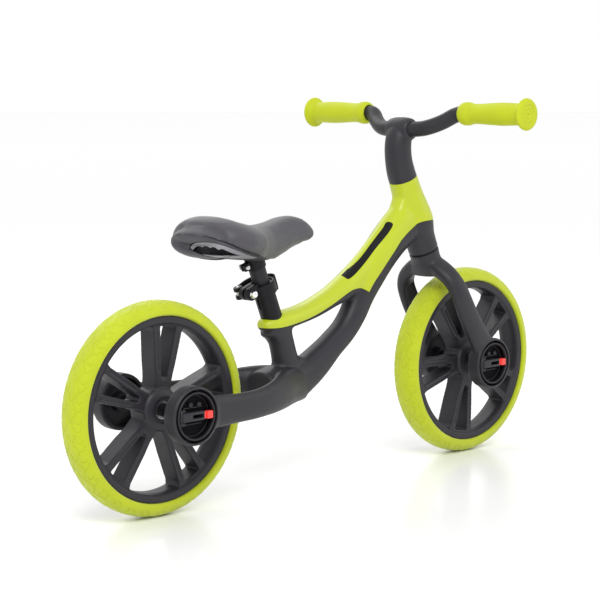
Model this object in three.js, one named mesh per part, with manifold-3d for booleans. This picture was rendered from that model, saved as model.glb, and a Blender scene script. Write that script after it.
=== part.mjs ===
// Children's balance bike with a moulded frame, five-spoke wheels and a height-adjustable saddle.
// Millimetres. +X is the way the bike rolls, +Y its left side, +Z up.
// The origin is on the floor, midway between the two axles.

import * as THREE from 'three';
import { mergeVertices } from 'three/addons/utils/BufferGeometryUtils.js';
import Module from 'manifold-3d';

const wasm = await Module();
wasm.setup();

// ---------------------------------------------------------------- driving dimensions

const GAP = 0.3;                      // clearance between pieces that touch

const WHEEL_RADIUS = 140;
const WHEELBASE = 607;
const WHEEL_SEGMENTS = 36;
const TYRE_INNER_RADIUS = 121;
const TYRE_HALF_WIDTH = 21;
const RIM_HALF_WIDTH = 18;
const RIM_INNER_RADIUS = 110;
const SPOKE_COUNT = 5;
const SPOKE_DEPTH = 29;
const HUB_RADIUS = 29;
const BEARING_RADIUS = 12;
const BEARING_OUTER_FACE = 17;
const BEARING_WIDTH = 7;
const AXLE_RADIUS = 5;
const SPACER_RADIUS = 9;

const BOSS_SIDES = 24;
const BOSS_RADIUS = 38;               // round ends that carry each axle
const BOSS_POCKET_RADIUS = 34.2;
const BOSS_DEPTH = 22;
const BOSS_FLOOR = 6.5;
const CAP_DEPTH = 5;
const REAR_BOSS_FACE = 84;            // distance of the boss face from the middle plane
const FRONT_BOSS_FACE = 63;
const DIAL_RADIUS = 31;
const DIAL_RECESS_RADIUS = 28;

const HEAD_TILT = THREE.MathUtils.degToRad(23.4);
const HEAD_BOTTOM = new THREE.Vector3(211.5, 0, 314.2);
const HEAD_LENGTH = 113.8;
const HEAD_BORE_RADIUS = 16.3;
const STEERER_RADIUS = 12.7;
const STEM_INSERTION = 26;

const BAR_RADIUS = 11;
const BAR_HALF_WIDTH = 210;
const GRIP_INNER_END = 91;
const BAR_GRIP_X = 191;
const BAR_GRIP_Z = 513;
const BAR_CENTRE_X = 162.5;
const BAR_CENTRE_Z = 490.5;

const SEAT_TILT = THREE.MathUtils.degToRad(21.5);
const SEAT_AXIS_BASE = new THREE.Vector3(-96.7, 0, 240.5);
const POST_RADIUS = 11.5;
const POST_BOTTOM = -48;
const POST_TOP = 76;
const SLEEVE_RADIUS = 14.7;
const SLEEVE_BOTTOM = -8;
const SLEEVE_TOP = 50;
const COLLAR_RADIUS = 18.3;
const SADDLE_CLAMP_TOP = 322;          // level top of the clamp under the saddle

const COVER_THICKNESS = 3;

const REAR_AXLE = new THREE.Vector3(-WHEELBASE / 2, 0, WHEEL_RADIUS);
const FRONT_AXLE = new THREE.Vector3(WHEELBASE / 2, 0, WHEEL_RADIUS);

// ---------------------------------------------------------------- materials

const LIME = 0xbfd912;
const GRAPHITE = 0x38373c;

function material(color, roughness, metalness = 0) {
  return new THREE.MeshStandardMaterial({ color, roughness, metalness });
}

const finish = {
  lime: () => material(LIME, 0.42),
  limeFoam: () => material(0xc6dc22, 0.75),
  graphite: () => material(GRAPHITE, 0.55),
  black: () => material(0x1b1b1d, 0.6),
  vinyl: () => material(0x3f3d43, 0.5),
  paintedSteel: () => material(0x303035, 0.3, 0.5),
  steel: () => material(0xb9bbbd, 0.3, 1),
  chrome: () => material(0xe6e8ea, 0.12, 1),
  red: () => material(0xee4040, 0.35),
};

// ---------------------------------------------------------------- solids and booleans

// The merged, outward-facing form of a closed geometry.
function closed(geometry) {
  const bare = geometry.clone();
  bare.deleteAttribute('normal');
  bare.deleteAttribute('uv');
  const merged = mergeVertices(bare, 1e-4);
  const p = merged.getAttribute('position');
  const kept = [];
  let volume = 0;
  const [a, b, c] = [new THREE.Vector3(), new THREE.Vector3(), new THREE.Vector3()];
  for (let i = 0; i < merged.index.count; i += 3) {
    const [ia, ib, ic] = [0, 1, 2].map((k) => merged.index.getX(i + k));
    if (ia === ib || ib === ic || ic === ia) continue;
    kept.push(ia, ib, ic);
    a.fromBufferAttribute(p, ia);
    b.fromBufferAttribute(p, ib);
    volume += a.dot(b.cross(c.fromBufferAttribute(p, ic)));
  }
  if (volume < 0) kept.reverse();
  merged.setIndex(kept);
  return merged;
}

function solid(geometry) {
  const merged = closed(geometry);
  return new wasm.Manifold(new wasm.Mesh({
    numProp: 3,
    vertProperties: new Float32Array(merged.getAttribute('position').array),
    triVerts: new Uint32Array(merged.index.array),
  }));
}

function geometryOf(manifold) {
  const mesh = manifold.getMesh();
  const geometry = new THREE.BufferGeometry();
  geometry.setAttribute('position', new THREE.BufferAttribute(new Float32Array(mesh.vertProperties), 3));
  geometry.setIndex(new THREE.BufferAttribute(new Uint32Array(mesh.triVerts), 1));
  return geometry;
}

function union(...geometries) {
  return geometries.map(solid).reduce((sum, next) => sum.add(next));
}

function addPiece(parent, name, shape, look) {
  const geometry = shape.isBufferGeometry ? closed(shape) : geometryOf(shape);
  geometry.computeVertexNormals();
  const piece = new THREE.Mesh(geometry, look);
  piece.name = name;
  parent.add(piece);
  return piece;
}

// ---------------------------------------------------------------- shared shapes

// A body lofted through stations [x, y, z, halfFixed, halfOther]: each section is a rounded
// oblong across the path, halfFixed along the fixed axis and halfOther square to it.
// A positive inset makes the same body that much thinner all round.
function loft(stations, fixedAxis, { sides = 16, steps = 1, power = 2.4, inset = 0 } = {}) {
  const path = new THREE.CatmullRomCurve3(stations.map(([x, y, z]) => new THREE.Vector3(x, y, z)));
  const sizes = new THREE.CatmullRomCurve3(stations.map((s) => new THREE.Vector3(s[3], s[4], 0)));
  const rings = (stations.length - 1) * steps;
  const positions = [];
  const index = [];
  for (let i = 0; i <= rings; i += 1) {
    const t = i / rings;
    const centre = path.getPoint(t);
    const size = sizes.getPoint(t);
    const tangent = path.getTangent(t);
    const other = new THREE.Vector3().crossVectors(tangent, fixedAxis).normalize();
    const fixed = new THREE.Vector3().crossVectors(other, tangent).normalize();
    for (let k = 0; k < sides; k += 1) {
      const angle = (2 * Math.PI * k) / sides;
      const [cos, sin] = [Math.cos(angle), Math.sin(angle)];
      const u = Math.sign(cos) * Math.abs(cos) ** (2 / power) * Math.max(size.x - inset, 0.5);
      const v = Math.sign(sin) * Math.abs(sin) ** (2 / power) * Math.max(size.y - inset, 0.5);
      const point = centre.clone().addScaledVector(fixed, u).addScaledVector(other, v);
      positions.push(...point.toArray());
    }
  }
  const first = positions.length / 3;
  positions.push(...path.getPoint(0).toArray(), ...path.getPoint(1).toArray());
  for (let i = 0; i < rings; i += 1) {
    for (let k = 0; k < sides; k += 1) {
      const a = i * sides + k;
      const b = i * sides + ((k + 1) % sides);
      index.push(a, b, a + sides, b, b + sides, a + sides);
    }
  }
  for (let k = 0; k < sides; k += 1) {
    const next = (k + 1) % sides;
    index.push(first, next, k);
    index.push(first + 1, rings * sides + k, rings * sides + next);
  }
  const geometry = new THREE.BufferGeometry();
  geometry.setAttribute('position', new THREE.Float32BufferAttribute(positions, 3));
  geometry.setIndex(index);
  return geometry;
}

const X_AXIS = new THREE.Vector3(1, 0, 0);
const Y_AXIS = new THREE.Vector3(0, 1, 0);
const Z_AXIS = new THREE.Vector3(0, 0, 1);

// A body of revolution about the Y axis from [radius, y] points.
function turned(points, segments = 20, phase = 0) {
  return new THREE.LatheGeometry(points.map(([r, y]) => new THREE.Vector2(r, y)), segments, phase);
}

function turnedRing(points, segments = 20, phase = 0) {
  return turned([...points, points[0]], segments, phase);
}

// A plain round rod along Y between two planes.
function rodY(radius, y0, y1, sides = 16) {
  return new THREE.CylinderGeometry(radius, radius, y1 - y0, sides).translate(0, (y0 + y1) / 2, 0);
}

function rodZ(radius, z0, z1, sides = 16) {
  return rodY(radius, z0, z1, sides).rotateX(Math.PI / 2);
}

function tubeZ(outer, inner, z0, z1, sides = 20) {
  const profile = [[inner, z0], [outer, z0], [outer, z1], [inner, z1]];
  return turnedRing(profile, sides).rotateX(Math.PI / 2);
}

function block(x0, x1, y0, y1, z0, z1) {
  const geometry = new THREE.BoxGeometry(x1 - x0, y1 - y0, z1 - z0);
  return geometry.translate((x0 + x1) / 2, (y0 + y1) / 2, (z0 + z1) / 2);
}

// A prism across Y whose side view is the outline of [x, z] points.
function sidePrism(points, y0, y1) {
  const shape = new THREE.Shape(points.map(([x, z]) => new THREE.Vector2(x, z)));
  const geometry = new THREE.ExtrudeGeometry(shape, { depth: y1 - y0, bevelEnabled: false });
  return geometry.rotateX(Math.PI / 2).translate(0, y1, 0);
}

// The smooth curve through [x, z] points of the side view.
function along(points) {
  return new THREE.SplineCurve(points.map(([x, z]) => new THREE.Vector2(x, z)));
}

// A group whose Z runs up the tilted axis through a base point.
function tiltedGroup(base, tilt) {
  const group = new THREE.Group();
  group.position.copy(base);
  group.rotation.y = -tilt;
  return group;
}

function intoFrame(geometry, base, tilt) {
  return geometry.clone().rotateY(-tilt).translate(base.x, base.y, base.z);
}

const bike = new THREE.Group();
const head = tiltedGroup(HEAD_BOTTOM, HEAD_TILT);
const seatAxis = tiltedGroup(SEAT_AXIS_BASE, SEAT_TILT);
bike.add(head, seatAxis);

// ---------------------------------------------------------------- frame

// Stations are [x, y, z, half width across the bike, half thickness in the side view].
const TOP_BEAM = [
  [-116, 0, 229, 7, 4], [-111, 0, 229.3, 12, 8], [-102, 0, 229.6, 16, 10.5], [-82, 0, 233, 18.2, 12.5],
  [-52, 0, 237.5, 17.5, 11.8], [-20, 0, 245, 16.5, 12.6], [14, 0, 257, 16.5, 13.6],
  [38, 0, 267, 17, 16.5], [62, 0, 279, 16.5, 19], [88, 0, 296.5, 15, 21], [112, 0, 319, 14, 20],
  [133, 0, 338, 13.5, 20], [145, 0, 353, 14, 15], [153, 0, 370, 14, 12], [158.5, 0, 388, 13, 9],
];
const DOWN_TUBE = [
  [-106, 0, 145, 26, 23], [-84, 0, 146, 26, 26], [-60, 0, 147, 24, 27], [-35, 0, 155.4, 21, 23.3],
  [-11, 0, 169.4, 19, 21.3], [17, 0, 189.4, 17.5, 17.8], [43.2, 0, 208.8, 17, 17.4],
  [62.6, 0, 231.3, 17, 18.4], [77, 0, 256.8, 17.5, 20.8], [94, 0, 282.8, 18.5, 24.8],
  [117, 0, 310.8, 19.5, 26.8], [139, 0, 331.8, 20, 28], [164, 0, 351, 20, 30], [186, 0, 366, 18, 24],
];
// Half width across, half depth along the bike, from the crown seam up to the stem seam.
const HEAD_STATIONS = [
  [-2, 22, 22], [10, 21.6, 21.8], [22, 21.8, 22.6], [36, 24.2, 26], [45, 24.6, 27.6], [56, 24.2, 27],
  [72, 22.6, 24.6], [90, 21, 22], [HEAD_LENGTH + 2, 20.2, 20.2],
];
const RISER = [
  [-64, 0, 150, 18, 26], [-69, 0, 170, 15.5, 20], [-74, 0, 189, 14.3, 17.6], [-79, 0, 206, 14.3, 17.2],
  [-83.5, 0, 217, 15.5, 20], [-88, 0, 227, 17, 27],
];
// Stations are [x, y, z, half height, half thickness].
const YOKE_ARM = [
  [-52, -6, 143, 22, 16], [-84, -20, 145, 25, 16], [-112, -38, 144.5, 24, 13],
  [-145, -54, 141.5, 21, 10.5], [-182, -63.5, 139, 19, 9.5], [-222, -69, 139, 19, 9],
  [-262, -72.5, 140, 21, 9], [-292, -73, 140, 24, 9],
];

// The web in the corner between the riser and the down tube.
const GUSSET = [
  [-78, 0, 165, 13, 14], [-64, 0, 170, 12.5, 15], [-50, 0, 170, 12.5, 12], [-38, 0, 168, 13, 10],
];
const SKID = [[-76, 0, 125.5, 15, 6], [-56, 0, 125, 16, 6.5], [-42, 0, 127.5, 15, 6]];

function mirrored(stations) {
  return stations.map(([x, y, ...rest]) => [x, -y, ...rest]);
}

function boss(face, side) {
  const inner = face - BOSS_DEPTH;
  const chamfer = 1.2;
  const profile = [
    [0, inner], [BOSS_RADIUS - chamfer, inner], [BOSS_RADIUS, inner + chamfer],
    [BOSS_RADIUS, face - chamfer], [BOSS_RADIUS - chamfer, face], [0, face],
  ];
  return turned(profile.map(([r, y]) => [r, side * y]), BOSS_SIDES);
}

// What is cut from a right-hand boss: the pocket for the dial and the hole for the axle.
function dialBore(face) {
  const floor = face - BOSS_DEPTH + BOSS_FLOOR;
  const hole = AXLE_RADIUS + GAP;
  const profile = [[0, face - BOSS_DEPTH - 5], [hole, face - BOSS_DEPTH - 5], [hole, floor],
    [BOSS_POCKET_RADIUS, floor], [BOSS_POCKET_RADIUS, face + 5], [0, face + 5]];
  return turned(profile.map(([r, y]) => [r, -y]), BOSS_SIDES);
}

// A left-hand boss holds a thin cap and is hollow towards the wheel, round the axle's hub.
function capBores(face) {
  const inner = face - BOSS_DEPTH;
  const hole = AXLE_RADIUS + GAP;
  const capRoom = [[0, inner - 5], [hole, inner - 5], [hole, face - CAP_DEPTH],
    [BOSS_POCKET_RADIUS, face - CAP_DEPTH], [BOSS_POCKET_RADIUS, face + 5], [0, face + 5]];
  const hollow = [[13, inner - 5], [BOSS_POCKET_RADIUS - 1.5, inner - 5],
    [BOSS_POCKET_RADIUS - 1.5, face - CAP_DEPTH - 4], [13, face - CAP_DEPTH - 4]];
  return [turned(capRoom, BOSS_SIDES), turnedRing(hollow, BOSS_SIDES)];
}

// The whole outside of the moulding, or the same body with its skin taken off.
function frameBody(inset) {
  const sides = inset > 2 ? 8 : 14;
  const headStations = HEAD_STATIONS.map(([up, halfWidth, halfDepth]) => {
    const x = HEAD_BOTTOM.x - up * Math.sin(HEAD_TILT);
    return [x, 0, HEAD_BOTTOM.z + up * Math.cos(HEAD_TILT), halfWidth, halfDepth];
  });
  return union(
    loft(TOP_BEAM, Y_AXIS, { inset, sides }),
    loft(DOWN_TUBE, Y_AXIS, { inset, sides }),
    loft(headStations, Y_AXIS, { inset, power: 2, sides: inset > 2 ? 12 : 18 }),
    loft(RISER, Y_AXIS, { inset, sides }),
    loft(GUSSET, Y_AXIS, { inset, sides }),
  );
}

// The lower edge of the bright cover, from behind the saddle tube to the front of the head.
const COVER_EDGE = [
  [-150, 227.5], [-120, 226.3], [-92, 226.5], [-62, 230], [-30, 237], [4, 249], [34, 263], [48, 267.5],
  [64, 267.6], [77.2, 261.5],
];
const COVER_EDGE_RISING = [
  [77.2, 261.5], [88.2, 275.7], [101.4, 289.4], [116, 304.8], [130, 319.2], [143.5, 333.4],
  [164, 347.2], [184.5, 356.6], [215, 357.8],
];

function coverZone(shift) {
  const lower = along(COVER_EDGE).getPoints(18);
  const rising = along(COVER_EDGE_RISING).getPoints(16).slice(1);
  const edge = [...lower, ...rising].map((p) => [p.x - 0.4 * shift, p.y + 0.9 * shift]);
  return sidePrism([...edge, [260, 357], [260, 480], [-170, 480], [-170, 227.5 + shift]], -60, 60);
}

// Black inlays on both shoulders of the cover, under its upper edge.
const TRIM_LINE = [
  [38, 282.5], [55, 292.5], [78, 309.5], [101, 331.5], [118, 347], [129, 358],
];
const TRIM_HALF_WIDTH = 3;

function trimZone(halfWidth, side) {
  const curve = along(TRIM_LINE);
  const count = 12;
  const [upper, lower] = [[], []];
  for (let i = 0; i <= count; i += 1) {
    const t = i / count;
    const p = curve.getPoint(t);
    const d = curve.getTangent(t);
    const half = halfWidth * Math.sqrt(Math.max(0.12, 1 - Math.abs(2 * t - 1) ** 12));
    upper.push([p.x - d.y * half, p.y + d.x * half]);
    lower.unshift([p.x + d.y * half, p.y - d.x * half]);
  }
  const [y0, y1] = side > 0 ? [2, 40] : [-40, -2];
  return sidePrism([...upper, ...lower], y0, y1);
}

function headBore() {
  return intoFrame(rodZ(HEAD_BORE_RADIUS, -8, HEAD_LENGTH + 8, 20), HEAD_BOTTOM, HEAD_TILT);
}

function headEnds() {
  const below = block(-80, 80, -60, 60, -60, 0);
  const above = block(-60, 60, -60, 60, HEAD_LENGTH, HEAD_LENGTH + 60);
  return [below, above].map((part) => intoFrame(part, HEAD_BOTTOM, HEAD_TILT));
}

function seatBore(radius, bottom) {
  return intoFrame(rodZ(radius, bottom, 60, 20), SEAT_AXIS_BASE, SEAT_TILT);
}

function cutAll(body, tools) {
  return tools.reduce((left, tool) => left.subtract(solid(tool)), body);
}

function buildFrame() {
  const atAxle = (shape) => shape.translate(REAR_AXLE.x, 0, REAR_AXLE.z);
  const outer = frameBody(0);
  const core = frameBody(COVER_THICKNESS + GAP);
  const arms = union(
    loft(YOKE_ARM, Z_AXIS, { sides: 12 }), loft(mirrored(YOKE_ARM), Z_AXIS, { sides: 12 }),
    ...[1, -1].map((side) => atAxle(boss(REAR_BOSS_FACE, side))),
  );
  const skid = loft(SKID, Y_AXIS);
  const bores = [
    headBore(), ...headEnds(),
    seatBore(POST_RADIUS + GAP, POST_BOTTOM - 16), seatBore(SLEEVE_RADIUS + GAP, SLEEVE_BOTTOM - GAP),
    ...[dialBore(REAR_BOSS_FACE), ...capBores(REAR_BOSS_FACE)].map(atAxle),
  ];
  const shoulder = [[150, 8], [148, 15], [143, 23], [135, 29], [126, 32], [0, 32]];
  const tyreRoom = atAxle(turned([...shoulder.map(([r, y]) => [r, -y]).reverse(), ...shoulder], 36));
  const lower = outer.add(arms).add(solid(skid)).subtract(solid(coverZone(-GAP)));
  const mainFrame = cutAll(lower.add(core), [...bores, tyreRoom]);
  addPiece(bike, 'main_frame', mainFrame, finish.graphite());

  const skin = outer.intersect(solid(coverZone(GAP))).subtract(frameBody(COVER_THICKNESS));
  const trims = [1, -1].map((side) => trimZone(TRIM_HALF_WIDTH + GAP, side));
  const trimDepth = frameBody(1.6);
  const trimRoom = trims.map((zone) => solid(zone).subtract(trimDepth));
  const coverCuts = [headBore(), ...headEnds(), seatBore(SLEEVE_RADIUS + GAP, SLEEVE_BOTTOM)];
  const cover = trimRoom.reduce((left, room) => left.subtract(room), cutAll(skin, coverCuts));
  addPiece(bike, 'top_cover', cover, finish.lime());

  [['left', 1], ['right', -1]].forEach(([name, side]) => {
    const strip = solid(trimZone(TRIM_HALF_WIDTH, side)).intersect(outer).subtract(frameBody(1.6 - GAP));
    addPiece(bike, `trim_strip_${name}`, strip, finish.black());
  });
}

buildFrame();

// ---------------------------------------------------------------- head bearings

function buildHeadBushes() {
  const outer = HEAD_BORE_RADIUS - GAP;
  const inner = STEERER_RADIUS + GAP;
  const length = 16;
  const top = HEAD_LENGTH - 0.2;
  addPiece(head, 'head_bush_lower', tubeZ(outer, inner, 0.2, length), finish.black());
  addPiece(head, 'head_bush_upper', tubeZ(outer, inner, top - length, top), finish.black());
  const section = [[inner, -2.5], [20, -2.5], [20, -GAP], [inner, -GAP]];
  const seal = turnedRing(section, 32).rotateX(Math.PI / 2);
  addPiece(head, 'crown_seal', seal, finish.black());
}

buildHeadBushes();

// ---------------------------------------------------------------- fork, stem and handlebar

// The front axle as seen from the bottom of the head, along and square to the steering axis.
const axleFromHead = FRONT_AXLE.clone().sub(HEAD_BOTTOM).applyAxisAngle(Y_AXIS, HEAD_TILT);
const FORK_TOP = -2.8;
const CROWN_UNDERSIDE = -39;
const STEERER_SEAT = -28;             // where the steerer tube ends inside the crown
const BOLT_RECESS = -33;

// Stations run down from the seal: [forward, side, up, half width across, half depth].
const CROWN = [
  [0, 0, FORK_TOP, 22, 22], [0, 0, -9, 21.4, 20.5], [-0.5, 0, -16, 23.5, 19], [-1.5, 0, -24, 29, 18],
  [-2.5, 0, -31.5, 35, 16.5], [-3, 0, CROWN_UNDERSIDE, 36, 14],
];
// Each leg leaves the crown sideways and turns down to the axle: [.., half depth, half thickness].
const FORK_LEG = [
  [-1.5, 14, -24, 15, 11.5], [-3, 30, -32.5, 15, 10.5], [-4.5, 43.5, -44, 14.6, 10],
  [-5, 51.5, -60, 14.8, 9.6], [-4, 53.6, -80, 15.8, 9.3], [-1.2, 53.6, -104, 16.8, 9.2],
  [3.6, 53.4, -130, 17.2, 9.2], [9, 53.2, -154, 18.5, 9.2], [13.5, 53, -178, 21, 9],
];

function legHollow(side) {
  const straight = FORK_LEG.slice(3, 8);
  const stations = straight.map(([x, y, z, depth]) => [x, side * (y - 9.5), z, depth - 4.5, 4.5]);
  return loft(stations, X_AXIS, { power: 4, sides: 8 });
}

function buildFork() {
  const legs = [FORK_LEG, mirrored(FORK_LEG)].map((stations) => loft(stations, X_AXIS, { sides: 12 }));
  const atAxle = (shape) => shape.translate(axleFromHead.x, 0, axleFromHead.z);
  const body = union(loft(CROWN, Y_AXIS, { sides: 16, power: 2.1 }), ...legs,
    ...[1, -1].map((side) => atAxle(boss(FRONT_BOSS_FACE, side))));
  const tyreRoom = turned([[0, -30], [149, -30], [149, 30], [0, 30]], 36);
  const cuts = [
    atAxle(tyreRoom), legHollow(1), legHollow(-1), rodZ(STEERER_RADIUS + GAP, STEERER_SEAT, 2, 20),
    rodZ(4 + GAP, -60, -20, 12), rodZ(8, -60, BOLT_RECESS, 16),
    ...[dialBore(FRONT_BOSS_FACE), ...capBores(FRONT_BOSS_FACE)].map(atAxle),
  ];
  addPiece(head, 'fork', cutAll(body, cuts), finish.graphite());
}

function buildSteerer() {
  const top = HEAD_LENGTH + STEM_INSERTION;
  addPiece(head, 'steerer_tube', tubeZ(STEERER_RADIUS, 10.4, STEERER_SEAT + GAP, top), finish.steel());
  addPiece(head, 'stem_wedge', tubeZ(10.1, 4 + GAP, top - 24, top - 2, 16), finish.steel());
  const boltHead = new THREE.CylinderGeometry(6.5, 6.5, 5, 6).rotateX(Math.PI / 2);
  const bolt = union(rodZ(4, BOLT_RECESS - 2, top - 4, 12), boltHead.translate(0, 0, BOLT_RECESS - 3));
  addPiece(head, 'stem_bolt', bolt, finish.steel());
}

// The left half of the bar's bend, from the middle to the start of the grip.
const BAR_BEND = [
  [BAR_CENTRE_X, 0, BAR_CENTRE_Z],
  [BAR_CENTRE_X, 22, BAR_CENTRE_Z],
  [BAR_CENTRE_X + 4.5, 42, BAR_CENTRE_Z + 2],
  [BAR_CENTRE_X + 15.8, 63, BAR_CENTRE_Z + 10],
  [BAR_GRIP_X - 2.7, 79, BAR_GRIP_Z - 2.6],
  [BAR_GRIP_X, GRIP_INNER_END - 3, BAR_GRIP_Z],
];
const BAR_STRAIGHT_START = 84;
const BAR_END = BAR_HALF_WIDTH - 4;
const BAR_WALL = 2;

function barBend(radius) {
  const right = BAR_BEND.slice(1).reverse().map(([x, y, z]) => [x, -y, z]);
  const curve = new THREE.CatmullRomCurve3([...right, ...BAR_BEND].map((p) => new THREE.Vector3(...p)));
  const settings = { steps: 18, extrudePath: curve, bevelEnabled: false };
  return new THREE.ExtrudeGeometry(circleShape(radius, 14), settings);
}

function circleShape(radius, sides) {
  const points = Array.from({ length: sides }, (_, k) => {
    const angle = (2 * Math.PI * k) / sides;
    return new THREE.Vector2(radius * Math.cos(angle), radius * Math.sin(angle));
  });
  return new THREE.Shape(points);
}

function buildHandlebar() {
  const onEachSide = (radius, start, end) => [[start, end], [-end, -start]].map(
    ([y0, y1]) => rodY(radius, y0, y1, 14).translate(BAR_GRIP_X, 0, BAR_GRIP_Z),
  );
  const bar = union(barBend(BAR_RADIUS), ...onEachSide(BAR_RADIUS, BAR_STRAIGHT_START, BAR_END));
  const hollows = onEachSide(BAR_RADIUS - BAR_WALL, BAR_STRAIGHT_START + 8, BAR_END + 1);
  addPiece(bike, 'handlebar', cutAll(bar, hollows), finish.paintedSteel());

  const inner = BAR_RADIUS + GAP;
  const grip = [
    [0, BAR_HALF_WIDTH], [20, BAR_HALF_WIDTH], [22.6, 207.5], [20.5, 203.6], [15.2, 200],
    [16, 165], [14.3, 122], [14.5, 112], [16.5, 105], [16.3, 96],
    [13.6, GRIP_INNER_END], [inner, GRIP_INNER_END], [inner, BAR_END + GAP], [0, BAR_END + GAP],
  ];
  [['left', 1], ['right', -1]].forEach(([name, side]) => {
    const shell = turned(grip.map(([r, y]) => [r, side * y]), 18).translate(BAR_GRIP_X, 0, BAR_GRIP_Z);
    addPiece(bike, `grip_${name}`, shell, finish.limeFoam());
  });
}

// The gooseneck: [x, y, z, half width across, half depth], from the top of the head to the bar.
function buildStem() {
  const onAxis = (up) => [
    HEAD_BOTTOM.x - up * Math.sin(HEAD_TILT), 0, HEAD_BOTTOM.z + up * Math.cos(HEAD_TILT),
  ];
  const neck = [
    [...onAxis(HEAD_LENGTH - 4), 20.2, 20.2], [...onAxis(HEAD_LENGTH + 12), 19.8, 19.8],
    [156.8, 0, 447, 19, 18.8], [155.3, 0, 463, 18.8, 18.5], [157, 0, 478, 18.6, 17.8],
    [161.5, 0, 489, 18, 15.5], [168, 0, 496, 16, 11.5],
  ];
  const end = [[17.3, 0], [17, 10], [15.5, 18.5], [12.5, 21.5], [0, 21.5]];
  const barrel = turned([...end.map(([r, y]) => [r, -y]).reverse(), ...end.slice(1)], 16)
    .translate(BAR_CENTRE_X, 0, BAR_CENTRE_Z);
  const barRoom = barBend(BAR_RADIUS + GAP);
  const intoHead = (shape) => intoFrame(shape, HEAD_BOTTOM, HEAD_TILT);
  const below = intoHead(block(-60, 60, -60, 60, HEAD_LENGTH - 50, HEAD_LENGTH + GAP));
  const socketTop = HEAD_LENGTH + STEM_INSERTION + 1;
  const socket = intoHead(rodZ(STEERER_RADIUS + GAP, HEAD_LENGTH - 5, socketTop, 20));
  const body = union(loft(neck, Y_AXIS, { sides: 16, power: 2.1 }), barrel);
  addPiece(bike, 'stem', cutAll(body, [barRoom, below, socket]), finish.graphite());
}

buildFork();
buildSteerer();
buildStem();
buildHandlebar();

// ---------------------------------------------------------------- wheels

function rimBand() {
  const w = RIM_HALF_WIDTH;
  const outer = TYRE_INNER_RADIUS - GAP;
  return turnedRing([
    [RIM_INNER_RADIUS, -w + 2.5], [RIM_INNER_RADIUS + 2.5, -w], [outer, -w],
    [outer, w], [RIM_INNER_RADIUS + 2.5, w], [RIM_INNER_RADIUS, w - 2.5],
  ], WHEEL_SEGMENTS, Math.PI / WHEEL_SEGMENTS);
}

// A hairpin spoke: two legs that meet at the hub, with a tapering slot between them.
function spoke() {
  const outline = [
    [-12.5, 20], [-13.8, 43], [-17.2, 60], [-23.2, 100], [-28.5, 111.5],
    [28.5, 111.5], [23.2, 100], [17.2, 60], [13.8, 43], [12.5, 20],
  ];
  const shape = new THREE.Shape(outline.map(([x, y]) => new THREE.Vector2(x, y)));
  const slot = new THREE.Path();
  slot.moveTo(-13.2, 106);
  slot.lineTo(-4.6, 43.5);
  slot.absarc(0, 43.5, 4.6, Math.PI, 2 * Math.PI, false);
  slot.lineTo(13.2, 106);
  slot.closePath();
  shape.holes.push(slot);
  const settings = { depth: SPOKE_DEPTH, bevelEnabled: false, curveSegments: 3 };
  const geometry = new THREE.ExtrudeGeometry(shape, settings);
  return geometry.translate(0, 0, -SPOKE_DEPTH / 2).rotateX(Math.PI / 2);
}

const HUB_FACE = 20.4;

function hub() {
  const half = [[HUB_RADIUS, 12], [26.8, 17], [18.6, HUB_FACE], [0, HUB_FACE]];
  return turned([...half.map(([r, y]) => [r, -y]).reverse(), ...half], 20);
}

// The stepped hole for one bearing: a shallow ring round its seat, then the seat itself.
function bearingPocket() {
  const [seat, step] = [BEARING_OUTER_FACE - BEARING_WIDTH - GAP, 18.3];
  const radius = BEARING_RADIUS + GAP;
  const mouth = HUB_FACE + 1;
  return turned([[0, seat], [radius, seat], [radius, step], [17.2, step], [18.4, mouth], [0, mouth]], 20);
}

function buildWheel(name, centre, firstSpoke, spacerReach) {
  const group = new THREE.Group();
  group.position.copy(centre);
  bike.add(group);

  const standing = WHEEL_RADIUS / Math.cos(Math.PI / WHEEL_SEGMENTS);
  const w = TYRE_HALF_WIDTH;
  const half = [[standing, 5], [standing - 2.2, 11.5], [standing - 6.5, 17.5], [standing - 12, w],
    [124, w - 0.3], [TYRE_INNER_RADIUS, RIM_HALF_WIDTH]];
  const tyre = turnedRing([...half, ...half.map(([r, y]) => [r, -y]).reverse()],
    WHEEL_SEGMENTS, Math.PI / WHEEL_SEGMENTS);
  addPiece(group, `${name}_tyre`, tyre, finish.limeFoam());

  const spokes = Array.from({ length: SPOKE_COUNT }, (_, k) => {
    const angle = THREE.MathUtils.degToRad(firstSpoke) + (2 * Math.PI * k) / SPOKE_COUNT;
    return spoke().rotateY(Math.PI / 2 - angle);
  });
  const cuts = [rodY(BEARING_RADIUS - 3, -40, 40), bearingPocket(), bearingPocket().rotateX(Math.PI)];
  addPiece(group, `${name}_wheel_rim`, cutAll(union(rimBand(), hub(), ...spokes), cuts), finish.graphite());

  [['left', 1], ['right', -1]].forEach(([sideName, side]) => {
    const inner = AXLE_RADIUS + GAP;
    const sleeve = (outer, from, to) => turnedRing(
      [[inner, side * from], [outer, side * from], [outer, side * to], [inner, side * to]], 16,
    );
    const bearing = sleeve(BEARING_RADIUS, BEARING_OUTER_FACE - BEARING_WIDTH, BEARING_OUTER_FACE);
    const spacer = sleeve(SPACER_RADIUS, BEARING_OUTER_FACE + GAP, spacerReach - GAP);
    addPiece(group, `${name}_bearing_${sideName}`, bearing, finish.steel());
    addPiece(group, `${name}_spacer_${sideName}`, spacer, finish.black());
  });
  const axle = rodY(AXLE_RADIUS, -spacerReach - 9.6, spacerReach + 14, 20);
  addPiece(group, `${name}_axle`, axle, finish.steel());
  return group;
}

// ---------------------------------------------------------------- axle dials and caps

const BAR_FACE_DEPTH = 0.8;           // how far the dial's folding bar lies under the dial face
const DIAL_BAR_HEIGHT = 11.5;
const DIAL_BAR_THICKNESS = 7;
const DIAL_PIVOT_X = -21;
const LATCH_START = 14;

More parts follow.
